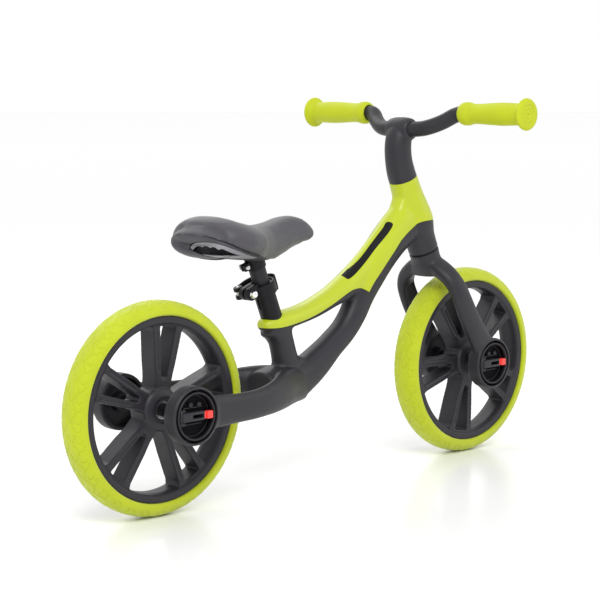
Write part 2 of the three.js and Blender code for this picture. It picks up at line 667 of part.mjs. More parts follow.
// The dial that turns the axle in or out, with the bar that folds out of it as a handle.
function buildDial(group, name, face) {
  const outer = -(face - 0.4);
  const back = -(face - BOSS_DEPTH + BOSS_FLOOR + GAP);
  const floor = outer + 10.5;
  const recess = DIAL_RECESS_RADIUS;
  const hole = AXLE_RADIUS + GAP;
  const profile = [
    [0, floor], [recess - 1, floor], [recess, floor - 1], [recess, outer + 0.6],
    [recess + 0.6, outer], [DIAL_RADIUS - 0.8, outer], [DIAL_RADIUS, outer + 0.8], [DIAL_RADIUS, back],
    [hole, back], [hole, floor + 1.2], [0, floor + 1.2],
  ];
  const barFront = outer + BAR_FACE_DEPTH;
  const barBack = barFront + DIAL_BAR_THICKNESS;
  const half = DIAL_BAR_HEIGHT / 2;
  const pivotY = barBack - 2.6;
  const pinX = DIAL_PIVOT_X;
  const lugs = [1, -1].map((up) => {
    const [z0, z1] = [half + 0.6, half + 4.6].map((z) => up * z);
    return block(pinX - 4, pinX + 4, pivotY - 3, floor + 0.5, Math.min(z0, z1), Math.max(z0, z1));
  });
  const knobs = [[-4, 14], [10, 13.5]].map(
    ([x, z]) => rodY(3.4, floor - 3.4, floor + 0.5, 10).translate(x, 0, z),
  );
  const latchX = LATCH_START + 6.6;
  const cuts = [
    rodZ(1.5 + GAP, -half - 7, half + 7, 12).translate(pinX, pivotY, 0),
    rodY(3 + GAP, -90, 0, 14).translate(latchX, 0, 0),
  ];
  const dial = cutAll(union(turned(profile, 20), ...lugs, ...knobs), cuts);
  addPiece(group, `${name}_dial`, dial, finish.graphite());
  addPiece(group, `${name}_dial_pin`,
    rodZ(1.5, -half - 4.4, half + 4.4, 12).translate(pinX, pivotY, 0), finish.steel());

  const barShape = union(
    block(pinX - 1, LATCH_START - GAP, barFront, barBack, -half, half),
    rodZ(3.2, -half, half, 18).translate(pinX - 0.8, pivotY, 0),
  );
  const barCuts = [rodZ(1.5 + GAP, -half - 1, half + 1, 12).translate(pinX, pivotY, 0),
    block(-6, LATCH_START - 2.2, barFront - 1, barBack + 1, -3, 3)];
  addPiece(group, `${name}_dial_bar`, cutAll(barShape, barCuts), finish.graphite());

  const latch = union(
    block(LATCH_START, 26.6, outer - 0.5, barBack - 1.2, -half, half),
    rodY(3, barBack - 2, back - 3.2, 14).translate(latchX, 0, 0),
  );
  addPiece(group, `${name}_lock_button`, latch, finish.red());
}

function buildAxleCap(group, name, face) {
  const outer = face - 0.4;
  const back = face - CAP_DEPTH + GAP;
  const profile = [
    [0, outer - 2], [21, outer - 2], [24, outer - 0.6], [25, outer], [DIAL_RADIUS + 1, outer],
    [DIAL_RADIUS + 2.2, outer - 1.2], [DIAL_RADIUS + 2.2, back], [0, back],
  ];
  addPiece(group, `${name}_axle_cap`, turned(profile, 24), finish.black());
}

const rearWheel = buildWheel('rear', REAR_AXLE, 83, REAR_BOSS_FACE - BOSS_DEPTH);
const frontWheel = buildWheel('front', FRONT_AXLE, 260, FRONT_BOSS_FACE - BOSS_DEPTH);
buildDial(rearWheel, 'rear', REAR_BOSS_FACE);
buildDial(frontWheel, 'front', FRONT_BOSS_FACE);
buildAxleCap(rearWheel, 'rear', REAR_BOSS_FACE);
buildAxleCap(frontWheel, 'front', FRONT_BOSS_FACE);

// ---------------------------------------------------------------- seat post, clamp and saddle

const COLLAR_BOTTOM = 35;
const COLLAR_TOP = 52;
const COLLAR_LUG_RADIUS = 9;
const CLAMP_BOLT_X = -27;
const CLAMP_BOLT_UP = 47.7;
const CAM_Y = 17.8;

function buildPost() {
  const sleeve = solid(tubeZ(SLEEVE_RADIUS, POST_RADIUS + GAP, SLEEVE_BOTTOM, SLEEVE_TOP));
  const slit = solid(block(-30, 0, -1.5, 1.5, 18, 60));
  addPiece(seatAxis, 'seat_tube_sleeve', sleeve.subtract(slit), finish.black());
  addPiece(seatAxis, 'seat_post', tubeZ(POST_RADIUS, 9.3, POST_BOTTOM, POST_TOP), finish.paintedSteel());
  const section = [[0, -2.5], [9.6, -2.5], [11.2, -1.2], [11.2, -GAP], [8.9, -GAP], [8.9, 12], [0, 12]];
  const plug = turned(section, 16).rotateX(Math.PI / 2).translate(0, 0, POST_BOTTOM);
  addPiece(seatAxis, 'post_end_plug', plug, finish.black());
}

function buildCollar() {
  const lug = rodY(COLLAR_LUG_RADIUS, -9, 9, 20).translate(CLAMP_BOLT_X, 0, CLAMP_BOLT_UP);
  const neck = block(CLAMP_BOLT_X, -13, -9, 9, COLLAR_BOTTOM + 5, CLAMP_BOLT_UP + COLLAR_LUG_RADIUS);
  const ring = tubeZ(COLLAR_RADIUS, SLEEVE_RADIUS + GAP, COLLAR_BOTTOM, COLLAR_TOP, 24);
  const bore = rodZ(SLEEVE_RADIUS + GAP, 0, 90, 24);
  const collar = cutAll(union(ring, neck, lug), [bore, block(-60, 0, -1.6, 1.6, 0, 90),
    rodY(2.6 + GAP, -20, 20, 14).translate(CLAMP_BOLT_X, 0, CLAMP_BOLT_UP)]);
  addPiece(seatAxis, 'clamp_collar', collar, finish.black());

  const rod = rodY(2.6, -14, CAM_Y - 1, 14);
  const barrel = rodZ(4.4, -2.7, 2.7, 18).translate(0, CAM_Y, 0);
  const stud = union(rod, barrel).subtract(solid(rodZ(2 + GAP, -6, 6, 14).translate(0, CAM_Y, 0)));
  const atBolt = (mesh) => mesh.position.set(CLAMP_BOLT_X, 0, CLAMP_BOLT_UP);
  atBolt(addPiece(seatAxis, 'clamp_stud', stud, finish.steel()));
  atBolt(addPiece(seatAxis, 'clamp_pin', rodZ(2, -9, 9, 14).translate(0, CAM_Y, 0), finish.steel()));
  const section = [
    [0, -16.4], [2.6, -16], [4.8, -14.4], [5.7, -12], [6, -9.3], [2.9, -9.3], [2.9, -14.4], [0, -14.4],
  ];
  const nut = turned(section, 14);
  atBolt(addPiece(seatAxis, 'clamp_nut', nut, finish.chrome()));
  const washer = turnedRing([[3, 9.3], [7.6, 9.3], [7.6, 10.9], [3, 10.9]], 14);
  atBolt(addPiece(seatAxis, 'clamp_washer', washer, finish.black()));
}

// The lever starts at the cam beside the ears and wraps round the left side of the collar.
const LEVER = [
  [CLAMP_BOLT_X + 1, 21.5, 47.7, 8.3, 2.6], [-15, 24.5, 48.5, 6.8, 2.4], [-3, 25.8, 49, 6.2, 2.3],
  [9, 24.5, 47.5, 7, 2.3], [17.5, 18.8, 45, 9, 2.3], [21.6, 10.5, 42.6, 11.2, 2.4],
  [22.8, 3, 41.6, 12.4, 2.6], [23.2, -2, 41.5, 12, 2.4],
];

function buildLever() {
  const camHead = rodZ(6.5, CLAMP_BOLT_UP - 8.5, CLAMP_BOLT_UP + 8.5, 24).translate(CLAMP_BOLT_X, CAM_Y, 0);
  const arm = loft(LEVER, Z_AXIS, { power: 3, sides: 8 });
  const slot = block(-9, 6.2, 8, CAM_Y + 5.2, -3.2, 3.2).translate(CLAMP_BOLT_X, 0, CLAMP_BOLT_UP);
  const pinHole = rodZ(2 + GAP, 0, 100, 14).translate(CLAMP_BOLT_X, CAM_Y, 0);
  addPiece(seatAxis, 'clamp_lever', cutAll(union(camHead, arm), [slot, pinHole]), finish.black());
}

// Saddle sections: [x, top, underside, half width].
const SADDLE = [
  [-238, 357, 344.5, 24], [-235, 367.2, 337.6, 44.2], [-226, 373.8, 326.9, 57.4],
  [-212, 382.7, 323.9, 64.7], [-188, 376.5, 323.8, 70], [-165, 371.2, 321, 64.4],
  [-145, 367.5, 319.3, 52.8], [-122, 366.4, 317.2, 41], [-98, 369.6, 323.7, 33.7],
  [-74, 375.5, 332, 29.4], [-52, 375.5, 337.1, 26.9], [-36, 365.2, 340.7, 22.7],
  [-28.5, 360.7, 345.8, 15], [-25.5, 357.3, 350.7, 8],
];

const PUCK_RADIUS = 13.6;
const PUCK_BOTTOM = 74;
const SADDLE_BOLT = [-19.5, 0, 80.5];

function saddleBody(inset) {
  const stations = SADDLE.map(
    ([x, top, under, half]) => [x, 0, (top + under) / 2, half, (top - under) / 2],
  );
  return loft(stations, Y_AXIS, { inset, power: 2.3, sides: 20 });
}

// The side view of the parting between the cushion and its tray.
const TRAY_LINE = [
  [-262, 352], [-240, 347], [-220, 340], [-190, 332], [-150, 327], [-100, 325.5], [-60, 325.5],
];

function trayZone(shift) {
  const top = along(TRAY_LINE).getPoints(10).map((p) => [p.x, p.y + shift]);
  return sidePrism([...top, [-60, 290], [-262, 290]], -90, 90);
}

// The room above the flat, level top of the clamp that holds the saddle.
function aboveSeatClamp(raise) {
  return block(-200, 0, -60, 60, SADDLE_CLAMP_TOP + raise, SADDLE_CLAMP_TOP + 100);
}

function fromFrame(geometry) {
  return geometry.translate(-SEAT_AXIS_BASE.x, 0, -SEAT_AXIS_BASE.z).rotateY(SEAT_TILT);
}

function buildSaddle() {
  const cushion = solid(saddleBody(0)).subtract(solid(trayZone(GAP)));
  addPiece(bike, 'saddle_cushion', cushion, finish.vinyl());

  const clampRoom = solid(intoFrame(rodZ(PUCK_RADIUS + 0.8, 60, 90, 20), SEAT_AXIS_BASE, SEAT_TILT))
    .subtract(solid(aboveSeatClamp(GAP)));
  const tray = solid(saddleBody(2)).intersect(solid(trayZone(0)));
  const grabs = [block(-262, -192, 4, 80, 328, 337), block(-262, -192, -80, -4, 328, 337)];
  addPiece(bike, 'saddle_tray', cutAll(tray, grabs).subtract(clampRoom), finish.graphite());

  const puck = union(rodZ(PUCK_RADIUS, PUCK_BOTTOM, 90, 20), block(-23.5, -8, -6, 6, 75.5, 85.5));
  const clampCuts = [rodZ(POST_RADIUS + GAP, 60, POST_TOP + GAP, 20), block(-40, 0, -1.4, 1.4, 60, 100),
    rodY(2.2 + GAP, -30, 30, 14).translate(...SADDLE_BOLT), fromFrame(aboveSeatClamp(0))];
  addPiece(seatAxis, 'saddle_clamp', cutAll(puck, clampCuts), finish.black());
  const boltAt = (mesh) => mesh.position.set(...SADDLE_BOLT);
  const bolt = union(rodY(2.2, -8, 9.6, 14), rodY(3.2, -9.4, -6.3, 16))
    .subtract(solid(new THREE.CylinderGeometry(1.6, 1.6, 4, 6).translate(0, -9.9, 0)));
  boltAt(addPiece(seatAxis, 'saddle_bolt', bolt, finish.steel()));
  const nut = new THREE.CylinderGeometry(3.6, 3.6, 2.6, 6).translate(0, 7.7, 0);
  const nutBore = solid(rodY(2.2 + GAP, 5, 20, 14));
  boltAt(addPiece(seatAxis, 'saddle_nut', solid(nut).subtract(nutBore), finish.steel()));
}

buildPost();
buildCollar();
buildLever();
buildSaddle();

export default bike;
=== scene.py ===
"""Looks of a children's balance bike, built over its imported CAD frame.

Shapes are worked out in millimetres in the bike's own frame: +X forward, +Y left, +Z up, with the
origin on the floor midway between the axles. They turn into metres when an object is made.
"""

import math

import bmesh
import bpy
import numpy as np
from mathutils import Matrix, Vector


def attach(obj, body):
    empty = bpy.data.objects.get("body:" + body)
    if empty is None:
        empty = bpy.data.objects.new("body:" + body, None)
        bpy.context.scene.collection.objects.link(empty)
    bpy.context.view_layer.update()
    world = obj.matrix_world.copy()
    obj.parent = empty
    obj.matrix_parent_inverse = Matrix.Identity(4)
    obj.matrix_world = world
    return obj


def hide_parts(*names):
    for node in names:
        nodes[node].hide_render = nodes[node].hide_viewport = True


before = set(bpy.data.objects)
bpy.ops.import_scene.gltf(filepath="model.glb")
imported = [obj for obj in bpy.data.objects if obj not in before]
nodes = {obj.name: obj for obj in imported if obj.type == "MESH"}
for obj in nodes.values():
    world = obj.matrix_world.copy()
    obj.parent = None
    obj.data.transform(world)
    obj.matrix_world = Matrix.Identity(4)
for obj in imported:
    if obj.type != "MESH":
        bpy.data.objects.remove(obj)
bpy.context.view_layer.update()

MM = 0.001
X_AXIS, Y_AXIS, Z_AXIS = np.eye(3)
SIDES = (1, -1)

# ---- sizes shared with the CAD, mm

REAR_AXLE = np.array([-303.5, 0, 140.0])
FRONT_AXLE = np.array([303.5, 0, 140.0])
WHEEL_RADIUS = 140.0
TYRE_INNER = 121.0
TYRE_HALF = 21.0
RIM_HALF = 18.0
GAP = 0.3
AXLE_ROOM = 5.3

HEAD_BASE = np.array([211.5, 0, 314.2])
HEAD_TILT = math.radians(23.4)
HEAD_LENGTH = 113.8
HEAD_BORE = 16.3
STEERER_ROOM = 13.0
SEAT_BASE = np.array([-96.7, 0, 240.5])
SEAT_TILT = math.radians(21.5)
SLEEVE_RADIUS = 14.7
SLEEVE_ROOM = 15.0
SLEEVE_FOOT = -8.3
POST_RADIUS = 11.5
POST_ROOM = 11.8
POST_FOOT = -64.0

BOSS_RADIUS = 38.0
BOSS_POCKET = 34.2
BOSS_DEPTH = 22.0
BOSS_FLOOR = 6.5
CAP_DEPTH = 5.0
REAR_FACE = 84.0
FRONT_FACE = 63.0

BAR_RADIUS = 11.0
BAR_HALF = 210.0
GRIP_START = 91.0
BAR_GRIP = (191.0, 513.0)
BAR_MIDDLE = (162.5, 490.5)

# ---- materials

CLOUD = 28.0  # cycles per metre
CELL_SCALE = 0.35  # leather cells against grain
GRAIN_ON_CELLS = 0.35


def add_node(tree, kind, **values):
    node = tree.nodes.new(kind)
    for key, value in values.items():
        if key in node.inputs:
            node.inputs[key].default_value = value
        else:
            setattr(node, key, value)
    return node


def surface(name, colour, roughness, shade=0.10, grain=2200.0, depth=0.02, spread=0.07, metallic=0.0,
            coat=0.0, sheen=0.0, specular=0.5, stretch=(1, 1, 1), cells=False):
    """A procedural material with soft tone changes, uneven gloss and grain or leather cells.

    grain is in cycles per metre, depth is its height in millimetres.
    """
    material = bpy.data.materials.new(name)
    material.use_nodes = True
    tree = material.node_tree
    shader = tree.nodes["Principled BSDF"]
    link = tree.links.new
    place = add_node(tree, "ShaderNodeTexCoord")
    mapping = add_node(tree, "ShaderNodeMapping")
    mapping.inputs["Scale"].default_value = stretch
    link(place.outputs["Object"], mapping.inputs["Vector"])

    def noise(source, scale, detail, uneven=0.5):
        node = add_node(tree, "ShaderNodeTexNoise", Scale=scale, Detail=detail, Roughness=uneven)
        link(source, node.inputs["Vector"])
        return node.outputs["Fac"]

    tones = add_node(tree, "ShaderNodeValToRGB")
    tones.color_ramp.elements[0].position = 0.3
    tones.color_ramp.elements[1].position = 0.7
    for element, factor in zip(tones.color_ramp.elements, (1 - shade, 1 + shade)):
        element.color = (*[min(1.0, c * factor) for c in colour], 1)
    link(noise(place.outputs["Object"], CLOUD, 5.0, 0.6), tones.inputs["Fac"])
    link(tones.outputs["Color"], shader.inputs["Base Color"])

    fine = noise(mapping.outputs["Vector"], grain, 3.0, 0.55)
    gloss = add_node(tree, "ShaderNodeMapRange")
    gloss.inputs["To Min"].default_value = max(0.02, roughness - spread)
    gloss.inputs["To Max"].default_value = min(1.0, roughness + spread)
    link(noise(mapping.outputs["Vector"], CLOUD * 4, 4.0), gloss.inputs["Value"])
    link(gloss.outputs["Result"], shader.inputs["Roughness"])

    bump = add_node(tree, "ShaderNodeBump", Strength=1.0, Distance=depth * MM)
    if cells:
        skin = add_node(tree, "ShaderNodeTexVoronoi", Scale=grain * CELL_SCALE, Randomness=0.9)
        skin.feature = "SMOOTH_F1"
        link(place.outputs["Object"], skin.inputs["Vector"])
        blend = add_node(tree, "ShaderNodeMath", operation="MULTIPLY_ADD")
        blend.inputs[1].default_value = GRAIN_ON_CELLS
        link(fine, blend.inputs[0])
        link(skin.outputs["Distance"], blend.inputs[2])
        link(blend.outputs["Value"], bump.inputs["Height"])
    else:
        link(fine, bump.inputs["Height"])
    link(bump.outputs["Normal"], shader.inputs["Normal"])

    for socket, value in (("Metallic", metallic), ("Coat Weight", coat), ("Coat Roughness", 0.12),
                          ("Sheen Weight", sheen), ("Specular IOR Level", specular)):
        shader.inputs[socket].default_value = value
    return material


LIME = (0.42, 0.49, 0.003)
DARK = (0.019, 0.0172, 0.022)

look = {
    "lime": surface("lime_plastic", LIME, 0.40, shade=0.03, depth=0.008, coat=0.15),
    "foam": surface("lime_foam", (0.42, 0.49, 0.006), 0.66, shade=0.05, grain=1400, depth=0.05,
                    specular=0.3, sheen=0.25),
    "grip": surface("lime_grip", (0.44, 0.50, 0.006), 0.6, shade=0.04, grain=1600, depth=0.04,
                    specular=0.35),
    "dark": surface("graphite_plastic", DARK, 0.46, shade=0.10, grain=2600, depth=0.02, specular=0.34),
    "dial": surface("dial_plastic", (0.013, 0.012, 0.015), 0.44, shade=0.10, grain=2600, depth=0.015,
                    specular=0.3),
    "black": surface("black_plastic", (0.006, 0.006, 0.008), 0.42, shade=0.12, depth=0.012,
                     specular=0.2),
    # painted shade: near-black and barely glossy, it lines the dial's recess and stands in for the
    # shadow inside it
    "painted_shade": surface("recess_painted_shade", (0.003, 0.003, 0.004), 0.6, shade=0.1, depth=0.01, specular=0.08),
    "trim": surface("trim_inlay", (0.006, 0.006, 0.007), 0.5, shade=0.1, grain=3000, depth=0.015,
                    specular=0.15),
    "vinyl": surface("saddle_vinyl", (0.050, 0.047, 0.056), 0.52, shade=0.08, grain=2400, depth=0.03,
                     cells=True, sheen=0.12),
    "shell": surface("shell_plastic", (0.045, 0.042, 0.052), 0.5, shade=0.08, grain=2000, depth=0.03),
    "tray": surface("tray_plastic", (0.24, 0.235, 0.265), 0.5, shade=0.06, grain=2000, depth=0.03),
    "paint": surface("painted_steel", (0.016, 0.016, 0.019), 0.48, shade=0.08, grain=700, depth=0.006,
                     specular=0.3),
    "steel": surface("bare_steel", (0.50, 0.50, 0.51), 0.32, shade=0.06, metallic=1.0,
                     stretch=(1, 1, 6)),
    "chrome": surface("bright_chrome", (0.80, 0.81, 0.83), 0.12, shade=0.03, spread=0.05, depth=0.004,
                      metallic=1.0),
    "red": surface("red_plastic", (0.86, 0.045, 0.035), 0.36, shade=0.05, depth=0.01, coat=0.2),
}

# ---- forms: (points, faces), mm


def catmull(points, steps):
    """Points along a centripetal spline through the given ones, steps to each span."""
    p = np.asarray(points, float)
    out = []
    for i in range(len(p) - 1):
        p1, p2 = p[i], p[i + 1]
        p0 = p[i - 1] if i > 0 else 2 * p1 - p2
        p3 = p[i + 2] if i + 2 < len(p) else 2 * p2 - p1
        spans = [float(np.dot(b - a, b - a)) ** 0.25 for a, b in ((p0, p1), (p1, p2), (p2, p3))]
        d1 = spans[1] if spans[1] > 1e-4 else 1.0
        d0, d2 = (d if d > 1e-4 else d1 for d in (spans[0], spans[2]))
        t1 = ((p1 - p0) / d0 - (p2 - p0) / (d0 + d1) + (p2 - p1) / d1) * d1
        t2 = ((p2 - p1) / d1 - (p3 - p1) / (d1 + d2) + (p3 - p2) / d2) * d1
        last = i == len(p) - 2
        for k in range(steps + 1 if last else steps):
            t = k / steps
            out.append(p1 + t1 * t + (3 * (p2 - p1) - 2 * t1 - t2) * t * t
                       + (2 * (p1 - p2) + t1 + t2) * t ** 3)
    return np.array(out)


def spline(points, steps):
    """Points along a uniform spline through points of the side view."""
    p = np.asarray(points, float)
    out = [p[0]]
    for i in range(len(p) - 1):
        p0, p1, p2, p3 = (p[min(max(i + k, 0), len(p) - 1)] for k in (-1, 0, 1, 2))
        v0, v1 = (p2 - p0) / 2, (p3 - p1) / 2
        for k in range(1, steps + 1):
            t = k / steps
            out.append((2 * p1 - 2 * p2 + v0 + v1) * t ** 3
                       + (3 * p2 - 3 * p1 - 2 * v0 - v1) * t * t + v0 * t + p1)
    return np.array(out)


def loft(stations, fixed_axis, sides=56, steps=8, power=2.4, grow=0.0):
    """A body through stations [x, y, z, half along the fixed axis, half across it]."""
    s = np.asarray(stations, float)
    path = catmull(s[:, :3], steps)
    size = catmull(np.c_[s[:, 3:5], np.zeros(len(s))], steps)[:, :2] + grow
    tangent = np.gradient(path, axis=0)
    tangent /= np.linalg.norm(tangent, axis=1)[:, None]
    other = np.cross(tangent, fixed_axis)
    other /= np.linalg.norm(other, axis=1)[:, None]
    fixed = np.cross(other, tangent)
    angle = np.arange(sides) * 2 * math.pi / sides
    u = np.sign(np.cos(angle)) * np.abs(np.cos(angle)) ** (2 / power)
    v = np.sign(np.sin(angle)) * np.abs(np.sin(angle)) ** (2 / power)
    rings = (path[:, None] + fixed[:, None] * (u[None, :, None] * size[:, 0, None, None])
             + other[:, None] * (v[None, :, None] * size[:, 1, None, None]))
    return stitched(rings, ends=(path[0], path[-1]))


def stitched(rings, ends=None, closed=False):
    """Skin over rings of points. ends closes it with two poles, closed joins last ring to first."""
    count, sides = rings.shape[:2]
    points = rings.reshape(-1, 3)
    faces = []
    for i in range(count if closed else count - 1):
        a, b = i * sides, ((i + 1) % count) * sides
        faces += [(a + k, a + (k + 1) % sides, b + (k + 1) % sides, b + k) for k in range(sides)]
    if ends is not None:
        first = len(points)
        points = np.vstack([points, ends[0], ends[1]])
        last = (count - 1) * sides
        faces += [(first, (k + 1) % sides, k) for k in range(sides)]
        faces += [(first + 1, last + k, last + (k + 1) % sides) for k in range(sides)]
    return points, faces


def softened(profile, radius, closed):
    """The profile with its corners rounded off."""
    p = np.asarray(profile, float)
    out = []
    for i, corner in enumerate(p):
        if not closed and i in (0, len(p) - 1):
            out.append(corner)
            continue
        before, after = p[i - 1] - corner, p[(i + 1) % len(p)] - corner
        la, lb = np.linalg.norm(before), np.linalg.norm(after)
        cut = min(radius, 0.45 * la, 0.45 * lb)
        start, end = corner + before / la * cut, corner + after / lb * cut
        for t in np.linspace(0, 1, 4):
            out.append((1 - t) ** 2 * start + 2 * t * (1 - t) * corner + t * t * end)
    return np.array(out)


def lathe(profile, closed=False, soft=0.5, segments=96):
    """A body turned about Y from [radius, y] points. An open profile starts and ends on the axis."""
    p = softened(profile, soft, closed)
    angle = np.arange(segments) * 2 * math.pi / segments
    circle = np.c_[np.cos(angle), np.zeros(segments), np.sin(angle)]
    body = p if closed else p[1:-1]
    rings = circle[None] * body[:, 0, None, None] + Y_AXIS * body[:, 1, None, None]
    ends = None if closed else (Y_AXIS * p[0, 1], Y_AXIS * p[-1, 1])
    return stitched(rings, ends=ends, closed=closed)


def rod(radius, y0, y1, soft=0.4, segments=48):
    return lathe([[0, y0], [radius, y0], [radius, y1], [0, y1]], soft=soft, segments=segments)


def upright(form):
    """Turns a form made about Y so that it stands on +Z."""
    points, faces = form
    return np.c_[points[:, 0], -points[:, 2], points[:, 1]], faces


def shaft(radius, z0, z1, soft=0.4, segments=48):
    return upright(rod(radius, z0, z1, soft, segments))


def bore(radius, z0, z1, segments=48):
    return shaft(radius, z0, z1, 0.1, segments)


def tube(outer, inner, z0, z1, soft=0.5):
    return upright(lathe([[inner, z0], [outer, z0], [outer, z1], [inner, z1]], closed=True, soft=soft))


def moved(form, offset):
    return form[0] + np.asarray(offset, float), form[1]


def sided(profile, side):
    """A lathe profile for the left (1) or right (-1)."""
    return [[r, side * y] for r, y in profile]


def spun(form, angle):
    """Turns a form about Y, from +X towards +Z."""
    x, y, z = form[0].T
    c, s = math.cos(angle), math.sin(angle)
    return np.c_[x * c - z * s, y, x * s + z * c], form[1]


def tilted(form, base, tilt):
    """From a tilted axis's own frame into the bike's."""
    return moved(spun(form, tilt), base)


def into_head(form):
    return tilted(form, HEAD_BASE, HEAD_TILT)


def into_seat(form):
    return tilted(form, SEAT_BASE, SEAT_TILT)


def joined(*forms):
    points, faces, start = [], [], 0
    for p, f in forms:
        points.append(p)
        faces += [tuple(i + start for i in face) for face in f]
        start += len(p)
    return np.vstack(points), faces


def from_bmesh(bm):
    bm.verts.index_update()
    form = np.array([v.co for v in bm.verts]), [tuple(v.index for v in f.verts) for f in bm.faces]
    bm.free()
    return form


def slab(x0, x1, y0, y1, z0, z1, soft=0.6):
    """A block with rounded edges."""
    bm = bmesh.new()
    bmesh.ops.create_cube(bm, size=1)
    for v in bm.verts:
        v.co = Vector(((x0 + x1) / 2 + v.co.x * (x1 - x0), (y0 + y1) / 2 + v.co.y * (y1 - y0),
                       (z0 + z1) / 2 + v.co.z * (z1 - z0)))
    if soft:
        bmesh.ops.bevel(bm, geom=bm.edges[:], offset=soft, segments=3, profile=0.5, affect="EDGES")
    return from_bmesh(bm)


def prism(outline, y0, y1):
    """A prism along Y whose side view is the outline of [x, z] points."""
    bm = bmesh.new()
    ring = [bm.verts.new((x, y0, z)) for x, z in outline]
    face = bm.faces.new(ring)
    top = bmesh.ops.extrude_face_region(bm, geom=[face])
    for v in top["geom"]:
        if isinstance(v, bmesh.types.BMVert):
            v.co.y = y1
    bmesh.ops.recalc_face_normals(bm, faces=bm.faces)
    return from_bmesh(bm)


# ---- objects


def make(name, form):
    points, faces = form
    mesh = bpy.data.meshes.new(name)
    mesh.from_pydata((points * MM).tolist(), [], faces)
    bm = bmesh.new()
    bm.from_mesh(mesh)
    bmesh.ops.recalc_face_normals(bm, faces=bm.faces)
    bm.to_mesh(mesh)
    bm.free()
    obj = bpy.data.objects.new(name, mesh)
    bpy.context.scene.collection.objects.link(obj)
    return obj


def form_of(obj):
    points = np.array([v.co for v in obj.data.vertices]) / MM
    return points, [tuple(f.vertices) for f in obj.data.polygons]


def carry(obj, change):
    """Moves an object's points by a change made for forms."""
    points = change(form_of(obj))[0]
    obj.data.vertices.foreach_set("co", (points * MM).ravel())


def to_place(obj, centre):
    offset = Vector([c * MM for c in centre])
    for v in obj.data.vertices:
        v.co += offset


def bake(obj):
    """Applies the object's modifiers."""
    graph = bpy.context.evaluated_depsgraph_get()
    mesh = bpy.data.meshes.new_from_object(obj.evaluated_get(graph))
    obj.modifiers.clear()
    old, obj.data = obj.data, mesh
    bpy.data.meshes.remove(old)


def boolean(obj, tool, operation="DIFFERENCE"):
    """Cuts a form or object from obj, or keeps what they share."""
    other = tool if isinstance(tool, bpy.types.Object) else make("tool", tool)
    change = obj.modifiers.new("cut", "BOOLEAN")
    change.operation = operation
    change.solver = "MANIFOLD"
    change.object = other
    bake(obj)
    if other is not tool:
        bpy.data.objects.remove(other)


def cut(obj, *tools):
    for tool in tools:
        boolean(obj, tool)


def melt(obj, voxel, rounds):
    """Runs overlapping bodies together and softens the corners between them."""
    remesh = obj.modifiers.new("melt", "REMESH")
    remesh.mode = "VOXEL"
    remesh.voxel_size = voxel * MM
    soften = obj.modifiers.new("soften", "SMOOTH")
    soften.factor = 0.5
    soften.iterations = rounds
    bake(obj)


def copy_of(obj, name):
    other = obj.copy()
    other.data = obj.data.copy()
    other.name = name
    bpy.context.scene.collection.objects.link(other)
    return other


def remove(obj):
    bpy.data.objects.remove(obj)


def piece(obj, name, body, replaced, finish, sharp=35):
    """Finishes a piece: its name, shading, material, body and the CAD nodes it stands for."""
    obj.name = name
    mesh = obj.data
    mesh.name = name
    mesh.materials.clear()
    mesh.materials.append(look[finish])
    mesh.shade_smooth()
    mesh.set_sharp_from_angle(angle=math.radians(sharp))
    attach(obj, body)
    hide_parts(*replaced)


def made(name, form, body, node, finish, sharp=35):
    piece(make(name, form), name, body, [node], finish, sharp)


def settle(obj, name, body, node, finish):
    """Moves an object made in the seat axis's frame into the bike's and finishes it."""
    carry(obj, into_seat)
    piece(obj, name, body, [node], finish)


def cut_form(form, tool):
    obj = make("part", form)
    cut(obj, tool)
    return obj


def merged(first, *others):
    """Puts the meshes of several objects into one."""
    objects = (first, *others)
    form = joined(*[form_of(obj) for obj in objects])
    for obj in objects:
        remove(obj)
    return make("merged", form)


def shrunk(obj, amount):
    inner = copy_of(obj, "inner")
    swell(inner, -amount)
    return inner


def swell(obj, amount):
    """Moves the surface out by the amount."""
    skin = obj.modifiers.new("skin", "DISPLACE")
    skin.strength = amount * MM
    skin.mid_level = 0.0
    bake(obj)


# ---- frame and cover

TOP_BEAM = [
    [-116, 0, 229, 7, 4], [-111, 0, 229.3, 12, 8], [-102, 0, 229.6, 16, 10.5],
    [-82, 0, 233, 18.2, 12.5], [-52, 0, 237.5, 17.5, 11.8], [-20, 0, 245, 16.5, 12.6],
    [14, 0, 257, 16.5, 13.6], [38, 0, 267, 17, 16.5], [62, 0, 279, 16.5, 19],
    [88, 0, 296.5, 15, 21], [112, 0, 319, 14, 20], [133, 0, 338, 13.5, 20], [147, 0, 353, 14, 14.5],
    [156, 0, 370, 14, 11], [161, 0, 386, 13, 8.5], [163, 0, 400, 11, 5.5],
]
DOWN_TUBE = [
    [-119, 0, 145, 25, 21], [-106, 0, 145, 26, 23], [-84, 0, 146, 26, 26], [-60, 0, 147, 24, 27],
    [-35, 0, 155.4, 21, 23.3], [-11, 0, 169.4, 19, 21.3], [17, 0, 189.4, 17.5, 17.8],
    [43.2, 0, 208.8, 17, 17.4], [62.6, 0, 231.3, 17, 18.4], [77, 0, 256.8, 17.5, 20.8],
    [94, 0, 282.8, 18.5, 24.8], [117, 0, 310.8, 19.5, 26.8], [139, 0, 331.8, 20, 28],
    [164, 0, 351, 20, 30], [186, 0, 366, 18, 24],
]
HEAD_SECTIONS = [
    [-2, 22, 22], [10, 21.6, 21.8], [22, 21.8, 22.6], [36, 24.2, 26], [45, 24.6, 27.6],
    [56, 24.2, 27], [72, 22.6, 24.6], [90, 21, 22], [HEAD_LENGTH + 2, 20.2, 20.2],
]
RISER = [
    [-64, 0, 150, 18, 26], [-69, 0, 170, 15.5, 20], [-74, 0, 189, 14.3, 17.6],
    [-79, 0, 206, 14.3, 17.2], [-83.5, 0, 217, 15.5, 20], [-88, 0, 227, 17, 27],
]
GUSSET = [
    [-78, 0, 165, 13, 14], [-64, 0, 170, 12.5, 15], [-50, 0, 170, 12.5, 12], [-38, 0, 168, 13, 10],
]
